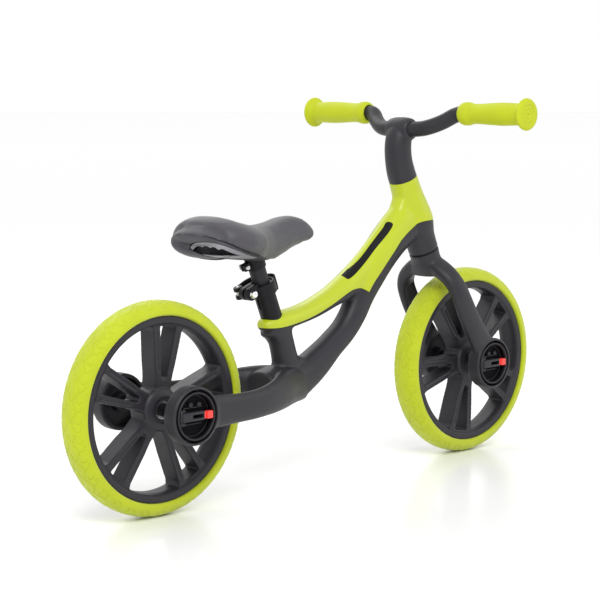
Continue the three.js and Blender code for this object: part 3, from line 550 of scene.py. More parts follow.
YOKE_ARM = [
    [-52, -6, 143, 22, 16], [-84, -20, 145, 25, 16], [-112, -38, 144.5, 24, 13],
    [-145, -54, 141.5, 21, 10.5], [-182, -63.5, 139, 19, 9.5], [-222, -69, 139, 19, 9],
    [-262, -72.5, 140, 21, 9], [-292, -73, 140, 24, 9],
]
SKID = [
    [-76, 0, 125.5, 15, 6], [-56, 0, 125, 16, 6.5], [-42, 0, 127.5, 15, 6],
]
COVER_EDGE = [
    [-150, 227.5], [-120, 226.3], [-92, 226.5], [-62, 230], [-30, 237], [4, 249], [34, 263],
    [48, 267.5], [64, 267.6], [77.2, 261.5],
]
COVER_EDGE_RISING = [
    [77.2, 261.5], [88.2, 275.7], [101.4, 289.4], [116, 304.8], [130, 319.2], [143.5, 333.4],
    [164, 347.2], [184.5, 356.6], [215, 357.8],
]
TRIM_LINE = [[38, 282.5], [55, 292.2], [78, 309], [102, 330], [119.5, 345.5], [130.5, 356.5]]
MELT_LOSS = 0.7  # how much the smoothing takes off, put back beforehand
REAR_TYRE_ROOM = [[150, 8], [148, 15], [143, 23], [135, 29], [126, 32], [0, 32]]
PARTING = 0.35  # cover and frame stay this far from the line between them
COVER_PROUD = 0.35
TRIM_HALF_WIDTH = 3.0
TRIM_GAP = 0.35
RIGHT_TRIM_LIFT = 1.6


def mirror(stations):
    return [[x, -y, *rest] for x, y, *rest in stations]


def boss(face, side):
    inner = face - BOSS_DEPTH
    profile = [[0, inner], [BOSS_RADIUS, inner], [BOSS_RADIUS, face], [0, face]]
    return lathe(sided(profile, side), soft=1.5)


def dial_bore(face):
    floor = face - BOSS_DEPTH + BOSS_FLOOR
    inner = face - BOSS_DEPTH - 5
    lip = BOSS_POCKET + 0.8
    profile = [[0, inner], [AXLE_ROOM, inner], [AXLE_ROOM, floor], [BOSS_POCKET, floor],
               [BOSS_POCKET, face - 0.8], [lip, face + 0.1], [lip, face + 5], [0, face + 5]]
    return lathe(sided(profile, -1), soft=0.2)


def cap_bores(face):
    inner = face - BOSS_DEPTH
    floor = face - CAP_DEPTH
    room = [[0, inner - 5], [AXLE_ROOM, inner - 5], [AXLE_ROOM, floor], [BOSS_POCKET, floor],
            [BOSS_POCKET, face + 5], [0, face + 5]]
    hollow = [[13, inner - 5], [BOSS_POCKET - 1.5, inner - 5], [BOSS_POCKET - 1.5, floor - 4],
              [13, floor - 4]]
    return [lathe(room, soft=0.2), lathe(hollow, closed=True, soft=0.8)]


def cover_zone(shift):
    """Everything above the cover's edge, which moves up by the shift."""
    edge = np.vstack([spline(COVER_EDGE, 8), spline(COVER_EDGE_RISING, 8)[1:]])
    edge += [-0.4 * shift, 0.9 * shift]
    return prism([*edge.tolist(), [260, 357], [260, 480], [-170, 480], [-170, 227.5 + shift]], -60, 60)


def trim_zone(half, side):
    """A prism along the trim line, with blunt ends, through one side of the cover."""
    centre = spline(TRIM_LINE, 10)
    along = np.gradient(centre, axis=0)
    along /= np.linalg.norm(along, axis=1)[:, None]
    across = np.c_[-along[:, 1], along[:, 0]]
    if side < 0:
        centre = centre + across * RIGHT_TRIM_LIFT
    t = np.linspace(-1, 1, len(centre))
    width = half * np.sqrt(np.maximum(0.06, 1 - np.abs(t) ** 14))[:, None]
    outline = [*(centre + across * width).tolist(), *(centre - across * width)[::-1].tolist()]
    return prism(outline, *((2, 40) if side > 0 else (-40, -0.5)))


def head_bore():
    return into_head(bore(HEAD_BORE, -8, HEAD_LENGTH + 8, segments=64))


def head_ends():
    below = slab(-80, 80, -60, 60, -60, 0, soft=0)
    above = slab(-60, 60, -60, 60, HEAD_LENGTH, HEAD_LENGTH + 60, soft=0)
    return [into_head(below), into_head(above)]


def seat_bore(radius, bottom):
    return into_seat(bore(radius, bottom, 60, segments=64))


def on_head_axis(up):
    return [HEAD_BASE[0] - up * math.sin(HEAD_TILT), 0, HEAD_BASE[2] + up * math.cos(HEAD_TILT)]


def build_frame():
    head = [[*on_head_axis(up), wide, deep] for up, wide, deep in HEAD_SECTIONS]
    blank = make("frame_blank", joined(
        loft(TOP_BEAM, Y_AXIS, grow=MELT_LOSS), loft(DOWN_TUBE, Y_AXIS, grow=MELT_LOSS),
        loft(head, Y_AXIS, power=2.0, grow=0.5), loft(RISER, Y_AXIS, grow=MELT_LOSS),
        loft(GUSSET, Y_AXIS, grow=MELT_LOSS),
        loft(YOKE_ARM, Z_AXIS, grow=0.3), loft(mirror(YOKE_ARM), Z_AXIS, grow=0.3), loft(SKID, Y_AXIS),
        *[moved(boss(REAR_FACE, side), REAR_AXLE) for side in SIDES]))
    melt(blank, 1.6, 2)
    tyre_room = lathe([*sided(REAR_TYRE_ROOM[::-1], -1), *REAR_TYRE_ROOM], soft=3)
    cut(blank, moved(tyre_room, REAR_AXLE))
    melt(blank, 1.5, 14)
    cut(blank, *head_ends())

    sleeve_room = seat_bore(SLEEVE_ROOM, SLEEVE_FOOT)
    bores = [moved(tool, REAR_AXLE) for tool in (dial_bore(REAR_FACE), *cap_bores(REAR_FACE))]
    lower = copy_of(blank, "lower")
    cut(lower, cover_zone(-PARTING), head_bore(), sleeve_room, seat_bore(POST_ROOM, POST_FOOT), *bores)
    piece(lower, "frame_moulding", "frame", ["main_frame"], "dark")

    swell(blank, COVER_PROUD)
    boolean(blank, cover_zone(PARTING), "INTERSECT")
    cut(blank, head_bore(), sleeve_room, *head_ends())
    for name, side in (("left", 1), ("right", -1)):
        strip = copy_of(blank, f"strip_{name}")
        boolean(strip, trim_zone(TRIM_HALF_WIDTH, side), "INTERSECT")
        cut(blank, trim_zone(TRIM_HALF_WIDTH + TRIM_GAP, side))
        piece(strip, f"trim_{name}", "frame", [f"trim_strip_{name}"], "trim")
    piece(blank, "frame_cover", "frame", ["top_cover"], "lime")


# ---- fork, stem, bar and grips

CROWN = [
    [0, 0, -2.8, 22, 22], [0, 0, -9, 21.4, 20.5], [-0.5, 0, -16, 23.5, 19], [-1.5, 0, -24, 29, 18],
    [-2.5, 0, -31.5, 35, 16.5], [-3, 0, -39, 36, 14],
]
FORK_LEG = [
    [-1.5, 14, -24, 15, 11.5], [-3, 30, -32.5, 15, 10.5], [-4.5, 43.5, -44, 14.6, 10],
    [-5, 51.5, -60, 14.8, 9.6], [-4, 53.6, -80, 15.8, 9.3], [-1.2, 53.6, -104, 16.8, 9.2],
    [3.6, 53.4, -130, 17.2, 9.2], [9, 53.2, -154, 18.5, 9.2], [13.5, 53, -178, 21, 9],
]


CROWN_TOP = -2.8
FORK_BORES = [[STEERER_ROOM, -28, 2], [8, -60, -33], [4.3, -60, -20]]  # radius, bottom, top
FRONT_TYRE_ROOM = [[0, -30], [149, -30], [149, 30], [0, 30]]
LEG_WALL = 4.5  # also half the width of the hollow behind it
LEG_HOLLOW_IN = 9.5  # how far the hollow lies inside the leg's middle


def build_fork():
    offset = FRONT_AXLE - HEAD_BASE
    c, s = math.cos(HEAD_TILT), math.sin(HEAD_TILT)
    axle = np.array([offset[0] * c + offset[2] * s, 0, -offset[0] * s + offset[2] * c])
    fork = make("fork_blank", joined(
        loft(CROWN, Y_AXIS, power=2.1, grow=0.5), loft(FORK_LEG, X_AXIS, grow=0.4),
        loft(mirror(FORK_LEG), X_AXIS, grow=0.4),
        *[moved(boss(FRONT_FACE, side), axle) for side in SIDES]))
    melt(fork, 1.5, 2)
    hollows = [loft([[x, side * (y - LEG_HOLLOW_IN), z, depth - LEG_WALL, LEG_WALL]
                     for x, y, z, depth, _ in FORK_LEG[3:8]], X_AXIS, power=4) for side in SIDES]
    cut(fork, moved(lathe(FRONT_TYRE_ROOM, soft=3), axle), *hollows)
    melt(fork, 1.3, 9)
    trim_top = slab(-40, 40, -40, 40, CROWN_TOP, 20, soft=0)
    cut(fork, trim_top, *[bore(*sizes) for sizes in FORK_BORES], moved(dial_bore(FRONT_FACE), axle),
        *[moved(tool, axle) for tool in cap_bores(FRONT_FACE)])
    carry(fork, into_head)
    piece(fork, "fork_moulding", "steering", ["fork"], "dark")

    seal = into_head(tube(20, STEERER_ROOM, -2.5, -GAP, soft=0.3))
    made("seal_ring", seal, "steering", "crown_seal", "black")


BAR_BEND = [
    [BAR_MIDDLE[0], 0, BAR_MIDDLE[1]], [BAR_MIDDLE[0], 22, BAR_MIDDLE[1]],
    [BAR_MIDDLE[0] + 4.5, 42, BAR_MIDDLE[1] + 2], [BAR_MIDDLE[0] + 15.8, 63, BAR_MIDDLE[1] + 10],
    [BAR_GRIP[0] - 2.7, 79, BAR_GRIP[1] - 2.6], [BAR_GRIP[0], GRIP_START - 3, BAR_GRIP[1]],
]


def bar_form(radius, reach):
    """The bent bar out to the given reach on each side."""
    right = [[x, -y, z] for x, y, z in BAR_BEND[:0:-1]]
    path = catmull([*right, *BAR_BEND], 10)
    ends = [[BAR_GRIP[0], side * reach, BAR_GRIP[1]] for side in (-1, 1)]
    path = np.vstack([ends[0], path, ends[1]])
    tangent = np.gradient(path, axis=0)
    tangent[:2], tangent[-2:] = Y_AXIS, Y_AXIS
    tangent /= np.linalg.norm(tangent, axis=1)[:, None]
    side = np.cross(tangent, Z_AXIS)
    side /= np.linalg.norm(side, axis=1)[:, None]
    up = np.cross(side, tangent)
    angle = np.arange(48) * 2 * math.pi / 48
    rings = path[:, None] + radius * (side[:, None] * np.cos(angle)[None, :, None]
                                      + up[:, None] * np.sin(angle)[None, :, None])
    return stitched(rings, ends=(path[0], path[-1]))


def build_bar():
    made("bar_tube", bar_form(BAR_RADIUS, BAR_HALF - 4.2), "steering", "handlebar", "paint")
    end = BAR_HALF
    grip = [
        [0, end - 1.6], [1.3, end - 1.4], [1.6, end - 0.4], [5.6, end - 0.2], [6.2, end - 0.8],
        [7.4, end - 0.8], [8, end - 0.2], [11.4, end - 0.3], [12, end - 0.9], [13.2, end - 0.9],
        [13.8, end - 0.3], [18.6, end - 0.5], [21.6, end - 1.8], [22.5, end - 4.2],
        [21.2, end - 6.6], [17.6, end - 8.6], [15.3, end - 11.5], [15.2, 192], [15.9, 176],
        [16.1, 163], [15.4, 145], [14.3, 126], [14.1, 117], [14.6, 110], [16.0, 106.5], [16.6, 102],
        [16.5, 97], [15.2, 93], [13.4, GRIP_START], [11.3, GRIP_START], [11.3, end - 3.7],
        [0, end - 3.7],
    ]
    for name, side in (("left", 1), ("right", -1)):
        shell = moved(lathe(sided(grip, side), soft=1.4), [BAR_GRIP[0], 0, BAR_GRIP[1]])
        made(f"handle_{name}", shell, "steering", f"grip_{name}", "grip", sharp=50)


def build_stem():
    neck = [
        [*on_head_axis(HEAD_LENGTH - 4), 20.2, 20.2], [*on_head_axis(HEAD_LENGTH + 12), 19.8, 19.8],
        [156.8, 0, 447, 19, 18.8], [155.3, 0, 463, 18.8, 18.5], [157, 0, 478, 18.6, 17.8],
        [161.5, 0, 489, 18, 15.5], [168, 0, 496, 16, 11.5],
    ]
    barrel = [[0, -21.5], [12.5, -21.5], [15.5, -18.5], [17, -10], [17.3, 0], [17, 10], [15.5, 18.5],
              [12.5, 21.5],
              [0, 21.5]]
    stem = make("stem_blank", joined(loft(neck, Y_AXIS, power=2.1, grow=0.4),
                                     moved(lathe(barrel, soft=1), [BAR_MIDDLE[0], 0, BAR_MIDDLE[1]])))
    melt(stem, 1.2, 12)
    below = into_head(slab(-60, 60, -60, 60, HEAD_LENGTH - 50, HEAD_LENGTH + GAP + 0.2, soft=0))
    socket = into_head(bore(STEERER_ROOM, HEAD_LENGTH - 5, HEAD_LENGTH + 27))
    cut(stem, bar_form(BAR_RADIUS + 0.35, 100), below, socket)
    piece(stem, "stem_moulding", "steering", ["stem"], "dark")


# ---- wheels

TREAD_CELLS = 34
TREAD_HALF_WIDTH = 1.0
TREAD_DEPTH = 0.9
TYRE_POWER = 2.45  # of the superellipse that is the tyre's section
# Strokes of one tread cell: start and end as [share of the cell, mm from the middle of the tread].
TREAD_STROKES = [
    [0.00, 7.5, 0.50, 14.5], [0.50, 14.5, 1.00, 7.5], [0.50, 14.5, 0.46, 20.5],
    [0.46, 20.5, 0.20, 23.0], [1.00, 7.5, 0.92, 3.0], [0.92, 3.0, 0.62, 1.0],
    [0.00, 13.5, 0.12, 18.5], [0.12, 18.5, -0.02, 21.5],
]


def groove(u, s):
    """How deep the tread pattern is at cell share u and distance s from the middle, 0 to 1."""
    pitch = 2 * math.pi * WHEEL_RADIUS / TREAD_CELLS
    depth = np.zeros_like(u)
    for shift in (-1, 0, 1):
        for u0, s0, u1, s1 in TREAD_STROKES:
            ax, ay, bx, by = (u0 + shift) * pitch, s0, (u1 + shift) * pitch, s1
            px, py = u * pitch - ax, s - ay
            dx, dy = bx - ax, by - ay
            t = np.clip((px * dx + py * dy) / (dx * dx + dy * dy), 0, 1)
            distance = np.hypot(px - t * dx, py - t * dy)
            depth = np.maximum(depth, np.clip(1.35 - distance / TREAD_HALF_WIDTH, 0, 1))
    return depth


def tyre_form():
    around, across = 1020, 72
    bead = TYRE_INNER + 2
    phi = np.linspace(0, math.pi, across)
    y = np.sign(np.cos(phi)) * np.abs(np.cos(phi)) ** (2 / TYRE_POWER) * TYRE_HALF
    r = bead + (WHEEL_RADIUS - bead) * np.abs(np.sin(phi)) ** (2 / TYRE_POWER)
    # the points are spaced evenly along the section
    length = np.r_[0, np.cumsum(np.hypot(np.diff(y), np.diff(r)))]
    even = np.linspace(0, length[-1], across)
    y, r = np.interp(even, length, y), np.interp(even, length, r)
    along = np.abs(even - length[-1] / 2)
    angle = np.arange(around) * 2 * math.pi / around
    turn, distance = np.meshgrid(angle, along, indexing="ij")
    left = np.broadcast_to(y > 0, turn.shape)
    share = (turn / (2 * math.pi) * TREAD_CELLS + np.where(left, 0.5, 0.0)) % 1.0
    depth = groove(share, distance) * TREAD_DEPTH
    dy, dr = np.gradient(y), np.gradient(r)
    radial, sideways = dy / np.hypot(dy, dr), -dr / np.hypot(dy, dr)
    if radial.mean() < 0:
        radial, sideways = -radial, -sideways
    rr = r[None] - depth * radial[None]
    yy = y[None] - depth * sideways[None]
    tuck = RIM_HALF + 0.6
    rr = np.c_[np.full(around, TYRE_INNER + 0.1), rr, np.full(around, TYRE_INNER + 0.1)]
    yy = np.c_[np.full(around, tuck), yy, np.full(around, -tuck)]
    rings = np.stack([rr * np.cos(angle)[:, None], yy, rr * np.sin(angle)[:, None]], axis=2)
    return stitched(rings, closed=True)


SPOKES = 5
REAR_FIRST_SPOKE = 83  # degrees from +X towards +Z
FRONT_FIRST_SPOKE = 260
SLOT_START = 43.5
SLOT_RADIUS = 4.6
HUB_HALF = 20.4


def spoke_forms():
    """One hairpin spoke along +X, its slot, and the shallow channels in the faces of its legs."""
    outline = [[20, -12.5], [43, -13.8], [60, -17.2], [100, -23.2], [112, -29], [112, 29], [100, 23.2],
               [60, 17.2], [43, 13.8], [20, 12.5]]
    slot = [[107, -13.4], [SLOT_START, -SLOT_RADIUS]]
    slot += [[SLOT_START - SLOT_RADIUS * math.sin(a), -SLOT_RADIUS * math.cos(a)]
             for a in np.linspace(0, math.pi, 13)[1:-1]]
    slot += [[SLOT_START, SLOT_RADIUS], [107, 13.4]]
    channel = [[48, 11.4], [48, 7.6], [99, 15.6], [99, 20.6], [60, 14.6]]
    channels = []
    for side in SIDES:
        flipped = sided(channel, side)[::side]
        channels += [prism(flipped, 13.2, 20), prism(flipped, -20, -13.2)]
    return prism(outline, -14.5, 14.5), prism(slot, -20, 20), channels


def rim_blank():
    w = RIM_HALF
    band = lathe([[108.5, -9], [110.5, -w + 1.8], [112.3, -w], [TYRE_INNER - GAP, -w],
                  [TYRE_INNER - GAP, w],
                  [112.3, w], [110.5, w - 1.8], [108.5, 9]], closed=True, soft=0.8, segments=128)
    hub_edge = [[0, HUB_HALF], [18.6, HUB_HALF], [26.8, 17], [29, 12]]
    hub = lathe([*sided(hub_edge, -1), *hub_edge[::-1]], soft=1.5)
    body, slot, channels = spoke_forms()
    one = make("spoke", body)
    cut(one, slot, *channels)
    spoke = form_of(one)
    remove(one)
    spokes = [spun(spoke, 2 * math.pi * k / SPOKES) for k in range(SPOKES)]
    blank = make("rim_blank", joined(band, hub, *spokes))
    melt(blank, 1.05, 5)
    middle = lathe([[0, -40], [9, -40], [9, 40], [0, 40]], soft=0.1)
    pocket = [[0, 9.7], [12.3, 9.7], [12.3, 18.3], [17.2, 18.3], [18.4, 21.4], [0, 21.4]]
    cut(blank, middle, *[lathe(sided(pocket, side), soft=0.2) for side in SIDES])
    return blank


def build_wheel(name, centre, first_spoke, side_body, face, blank, tyre):
    """side_body is the body that carries the axle."""
    body = f"{name}_wheel"
    rim = copy_of(blank, f"{name}_rim")
    carry(rim, lambda form: moved(spun(form, math.radians(first_spoke)), centre))
    piece(rim, f"{name}_rim_moulding", body, [f"{name}_wheel_rim"], "dark")
    made(f"{name}_tyre_moulding", moved(tyre, centre), body, f"{name}_tyre", "foam", sharp=60)
    reach = face - BOSS_DEPTH
    bearing = [[AXLE_ROOM, 10.4], [7.6, 10.4], [7.8, 10.9], [10.2, 10.9], [10.4, 10.4], [12, 10.4],
               [12, 17], [10.4, 17], [10.2, 16.4], [7.8, 16.4], [7.6, 17], [AXLE_ROOM, 17]]
    spacer = [[AXLE_ROOM, 17.3], [9, 17.3], [9, reach - 1.2], [8.2, reach - GAP],
              [AXLE_ROOM, reach - GAP]]
    for side_name, side in (("left", 1), ("right", -1)):
        for part, profile, owner, finish in (
                ("bearing", bearing, body, "steel"), ("spacer", spacer, side_body, "black")):
            form = lathe(sided(profile, side), closed=True, soft=0.25)
            made(f"{name}_{part}_{side_name}_turned", moved(form, centre), owner,
                 f"{name}_{part}_{side_name}", finish)
    axle = rod(5, -reach - 9.6, reach + 14, soft=0.8)
    made(f"{name}_axle_rod", moved(axle, centre), side_body, f"{name}_axle", "steel")


# ---- dials and caps

DIAL_PIVOT = -21.0
BAR_TALL = 11.5
BAR_THICK = 7.0
LATCH_START = 14.0


BAR_PIN = 1.5
PIN_ROOM = 1.8
LATCH = LATCH_START + 6.6
DIAL_KNOBS = ((-4, 14), (10, 13.5))


def build_dial(name, centre, face):
    """The dial, its folding bar, the bar's pin and the red lock button, all on the right."""
    outer = -(face - 0.4)
    back = -(face - BOSS_DEPTH + BOSS_FLOOR + GAP)
    floor = outer + 10.5
    profile = [
        [0, floor], [25.4, floor], [26, floor - 1.4], [28, floor - 1.4], [28, outer + 1.2],
        [28.7, outer], [30.2, outer], [31, outer + 0.8], [31, back], [AXLE_ROOM, back],
        [AXLE_ROOM, floor + 1.2], [0, floor + 1.2],
    ]
    front = outer + 0.8
    rear = front + BAR_THICK
    half = BAR_TALL / 2
    pivot = rear - 2.6
    on_pivot = [DIAL_PIVOT, pivot, 0]
    sunk = floor + 0.5
    lugs = [slab(DIAL_PIVOT - 4, DIAL_PIVOT + 4, pivot - 3, sunk,
                 *sorted((up * (half + 0.6), up * (half + 4.6)))) for up in SIDES]
    knobs = [moved(rod(3.6, floor - 3.8, sunk, soft=1.2), [x, 0, z]) for x, z in DIAL_KNOBS]
    walls = [moved(slab(-16, 16, floor - 2.2, sunk, -1, 1), [0, 0, up * 10.4]) for up in SIDES]
    dial = make(f"{name}_dial_blank", lathe(profile, soft=0.35, segments=128))
    pin_room = moved(bore(PIN_ROOM, -half - 7, half + 7), on_pivot)
    cut(dial, moved(rod(3.3, -90, 0, soft=0.1), [LATCH, 0, 0]))
    cups = make("cups", joined(*knobs, *walls))
    dial = merged(dial, cups, *[cut_form(lug, pin_room) for lug in lugs])
    to_place(dial, centre)
    group = f"{name}_dial"
    # The liner is a thin near-black sheet over the floor and wall of the dial's recess: painted shade
    # for the shadow in it.
    shade_liner = [[0, floor - 0.3], [25.2, floor - 0.3], [27.2, floor - 1.8], [27.2, outer + 3.2],
             [27.9, outer + 3.2], [27.9, floor - 1.2], [25.6, floor + 0.2], [0, floor + 0.2]]
    shade_liner = moved(lathe(shade_liner, soft=0.2, segments=128), centre)
    made(f"{group}_recess", shade_liner, f"{group}_body", group, "painted_shade")
    piece(dial, f"{group}_moulding", f"{group}_body", [group], "dial")
    pin = moved(moved(shaft(BAR_PIN, -half - 4.4, half + 4.4, soft=0.4), on_pivot), centre)
    made(f"{group}_pin_rod", pin, f"{group}_body", f"{group}_pin", "steel")

    bar = make("bar", slab(DIAL_PIVOT - 1, LATCH_START - GAP, front, rear, -half, half, soft=0.7))
    knuckle = moved(shaft(3.2, -half, half, soft=0.2), [DIAL_PIVOT - 0.8, pivot, 0])
    boolean(bar, knuckle, "UNION")
    cut(bar, moved(bore(PIN_ROOM, -half - 1, half + 1), on_pivot),
        slab(-6, LATCH_START - 2.2, front - 1, rear + 1, -2.4, 2.4, soft=0.8))
    to_place(bar, centre)
    piece(bar, f"{group}_bar_moulding", f"{group}_handle", [f"{group}_bar"], "dark")

    button = joined(slab(17.4, 26.6, outer - 0.5, rear - 1.2, -4.9, 4.9, soft=1.0),
                    slab(LATCH_START, 18, front + 1.2, rear - 1.2, -4.4, 4.4, soft=0.4),
                    moved(rod(3, rear - 2, back - 3.2, soft=0.4), [LATCH, 0, 0]))
    button = moved(button, centre)
    made(f"{name}_lock_tab", button, f"{group}_lock", f"{name}_lock_button", "red")


def build_cap(name, centre, face, body):
    outer = face - 0.4
    back = face - CAP_DEPTH + GAP
    profile = [[0, outer - 2], [21, outer - 2], [24, outer - 0.6], [25, outer], [32, outer],
               [33.2, outer - 1.2], [33.2, back], [0, back]]
    disc = moved(lathe(profile, soft=0.5), centre)
    made(f"{name}_cap_disc", disc, body, f"{name}_axle_cap", "black")


# ---- seat post and clamp

CLAMP_X = -27.0
CLAMP_UP = 47.7
CAM_Y = 17.8
CAM_PIN = 2.0
CAM_PIN_ROOM = 2.3
COLLAR_FOOT = 35.0
COLLAR_TOP = 52.0
STUD_RADIUS = 2.6
SADDLE_BOLT = [-19.5, 0, 83.2]
TRAY_UNDERSIDE = 322.0
LEVER = [
    [CLAMP_X + 1, 21.5, 47.7, 8.3, 2.6], [-15, 24.5, 48.5, 6.8, 2.4], [-3, 25.8, 49, 6.2, 2.3],
    [9, 24.5, 47.5, 7, 2.3], [17.5, 18.8, 45, 9, 2.3], [21.6, 10.5, 42.6, 11.2, 2.4],
    [22.8, 3, 41.6, 12.4, 2.6], [23.2, -2, 41.5, 12, 2.4],
]


def build_post():
    sleeve = make("sleeve", tube(SLEEVE_RADIUS, POST_ROOM, SLEEVE_FOOT + GAP, 50))
    cut(sleeve, slab(-30, 0, -1.5, 1.5, 18, 60, soft=0))
    settle(sleeve, "sleeve_tube", "frame", "seat_tube_sleeve", "black")
    post = into_seat(tube(POST_RADIUS, 9.3, -48, 76))
    made("post_tube", post, "seat", "seat_post", "paint")


def build_collar():
    bolt = [CLAMP_X, 0, CLAMP_UP]
    collar = make("collar", tube(18.3, SLEEVE_ROOM, COLLAR_FOOT, COLLAR_TOP, soft=1.2))
    ears = make("ears", moved(rod(9, -9, 9, soft=1.4), bolt))
    neck = make("neck", slab(CLAMP_X, -13, -9, 9, 40, CLAMP_UP + 9, soft=1.4))
    boolean(ears, neck, "UNION")
    remove(neck)
    cut(ears, bore(SLEEVE_ROOM, 0, 90))
    boolean(collar, ears, "UNION")
    remove(ears)
    cut(collar, slab(-60, 0, -1.6, 1.6, 0, 90, soft=0), moved(rod(2.9, -20, 20, soft=0.1), bolt))
    settle(collar, "collar_ring", "frame", "clamp_collar", "black")

    on_cam = [0, CAM_Y, 0]
    stud = make("stud", rod(STUD_RADIUS, -14, CAM_Y - 1))
    boolean(stud, moved(shaft(4.4, -2.7, 2.7), on_cam), "UNION")
    cut(stud, moved(bore(CAM_PIN_ROOM, -6, 6), on_cam))
    pin = moved(shaft(CAM_PIN, -9, 9), on_cam)
    nut = [[0, -16.4], [2.6, -16.1], [4.6, -14.8], [5.6, -12.6], [6, -10.6], [6, -9.3], [2.9, -9.3],
           [2.9, -14.4], [0, -14.4]]
    washer = [[3, 9.3], [7.6, 9.3], [7.6, 10.9], [3, 10.9]]
    to_place(stud, bolt)
    settle(stud, "stud_rod", "frame", "clamp_stud", "steel")
    for name, form, node, finish in (
            ("pin_rod", pin, "clamp_pin", "steel"),
            ("dome_nut", lathe(nut, soft=0.9), "clamp_nut", "chrome"),
            ("washer_ring", lathe(washer, closed=True, soft=0.3), "clamp_washer", "black")):
        made(name, into_seat(moved(form, bolt)), "frame", node, finish)


def build_lever():
    """The lever, with a slot in which the stud stays clear when it is open."""
    lever = make("lever", loft(LEVER, Z_AXIS, power=3, sides=48))
    on_cam = [CLAMP_X, CAM_Y, 0]
    boolean(lever, moved(shaft(6.5, CLAMP_UP - 8.5, CLAMP_UP + 8.5, soft=1.2), on_cam), "UNION")
    slots = [slab(CLAMP_X - 9, CLAMP_X + front, 8, CAM_Y + deep, CLAMP_UP - half,
                  CLAMP_UP + half, soft=0) for front, deep, half in ((6.2, 5.2, 3.2), (-0.5, 7, 3.3))]
    cut(lever, *slots, moved(bore(CAM_PIN_ROOM, 0, 100), on_cam))
    settle(lever, "lever_moulding", "seat_lever", "clamp_lever", "black")


def build_saddle_clamp():
    tray = slab(-200, 0, -60, 60, TRAY_UNDERSIDE, TRAY_UNDERSIDE + 100, soft=0)
    puck = make("puck", shaft(13.6, 74, 90, soft=1))
    block = make("block", slab(-23, -8, -4.8, 4.8, 78, 88, soft=1.2))
    boolean(puck, block, "UNION")
    remove(block)
    cut(puck, bore(POST_ROOM, 60, 76 + GAP), slab(-40, 0, -1.4, 1.4, 60, 100, soft=0),
        moved(rod(2.5, -30, 30, soft=0.1), SADDLE_BOLT), spun(moved(tray, -SEAT_BASE), -SEAT_TILT))
    settle(puck, "saddle_clamp_moulding", "seat", "saddle_clamp", "black")
    bolt = joined(rod(2.2, -5, 9.6), rod(3.1, -8, -5, soft=0.7))
    nut = lathe([[2.4, 5], [3.9, 5], [3.9, 7.9], [2.4, 7.9]], closed=True, soft=0.4)
    for name, form, node in (("saddle_bolt_turned", bolt, "saddle_bolt"),
                             ("saddle_nut_ring", nut, "saddle_nut")):
        made(name, into_seat(moved(form, SADDLE_BOLT)), "seat", node, "steel")


# ---- saddle

SADDLE = [
    [-238, 357, 344.5, 24], [-235, 367.2, 337.6, 44.2], [-226, 373.8, 326.9, 57.4],
    [-212, 382.7, 323.9, 64.7], [-188, 376.5, 323.8, 70], [-165, 371.2, 321, 64.4],
    [-145, 367.5, 319.3, 52.8], [-122, 366.4, 317.2, 41], [-98, 369.6, 323.7, 33.7],
    [-74, 375.5, 332, 29.4], [-52, 375.5, 337.1, 26.9], [-36, 365.2, 340.7, 22.7],
    [-28.5, 360.7, 345.8, 15], [-25.5, 357.3, 350.7, 8],
]
RIDGE = [[-260, 361], [-242, 360], [-233, 354.5], [-219, 347.5], [-197, 338.5], [-152, 328.5],
         [-110, 322]]


def saddle_form(grow):
    stations = [[x, 0, (top + under) / 2, half, (top - under) / 2] for x, top, under, half in SADDLE]
    return loft(stations, Y_AXIS, power=2.3, sides=72, steps=6, grow=grow)


def under_ridge(shift):
    """Everything below the ridge where cushion and tray meet, which moves up by the shift."""
    top = [[x, z + shift] for x, z in spline(RIDGE, 6)]
    return prism([*top, [-60, TRAY_UNDERSIDE + shift], [-60, 290], [-262, 290]], -90, 90)


# The hand-hold in each rear flank: outlines as [distance along the flank, height].
FLANK_ALONG = np.array([0.7413, -0.6711])
FLANK_INWARD = np.array([0.6711, 0.7413])
FLANK_FRONT = -88.0
LEFT_SHARE = 0.5  # length of the left hand-hold against the right
TOOL_START = -240.0  # the tools reach inwards from here
RECESS_END = -135.0
CORE_RECESS_END = -168.0
MEAN_OVAL_RADIUS = 14.0
SEAT_OVAL = [
    [-181, 342], [-176, 348.5], [-165, 351.5], [-150, 352], [-136, 349], [-120, 343], [-104, 335],
    [-88, 326], [-100, 325.5], [-120, 327], [-140, 329.5], [-158, 333], [-172, 337],
]


def smooth_loop(outline):
    """A closed spline through the points of an outline."""
    steps = 6
    loop = catmull([*outline, *outline[:3]], steps)
    return loop[steps:steps * (len(outline) + 1)]


def recess_outline():
    """The opening itself, with its scalloped upper edge."""
    u = np.linspace(-174, -134, 60)
    crest = np.interp(u, [-174, -165, -150, -134], [341, 343.6, 344, 341])
    crest += 2.2 * np.abs(np.sin(math.pi * (u + 174) / 10.7))
    lower = [[-176, 338.5], [-168, 335.2], [-150, 334.5], [-130, 334], [-114, 333.4], [-124, 337.5]]
    return np.vstack([lower, np.c_[u, crest][::-1]])


def flank_tool(outline, side, inset=0.0, end=RECESS_END):
    """A block through the rear flank with the given outline; side 1 is the right-hand flank."""
    middle = outline.mean(axis=0)
    points = middle + (outline - middle) * (1 - inset / MEAN_OVAL_RADIUS)
    if side < 0:
        points[:, 0] = FLANK_FRONT + LEFT_SHARE * (points[:, 0] - FLANK_FRONT)
    block, faces = prism(points.tolist(), TOOL_START, end)
    u, w, z = block.T
    x = FLANK_ALONG[0] * u + FLANK_INWARD[0] * w
    y = FLANK_ALONG[1] * u + FLANK_INWARD[1] * w
    if side < 0:
        faces = [tuple(face[::-1]) for face in faces]
    tool = make("flank", (np.c_[x, side * y, z], faces))
    boolean(tool, slab(-300, -90, *sorted((12 * side, -120 * side)), 300, 400, soft=0), "INTERSECT")
    form = form_of(tool)
    remove(tool)
    return form


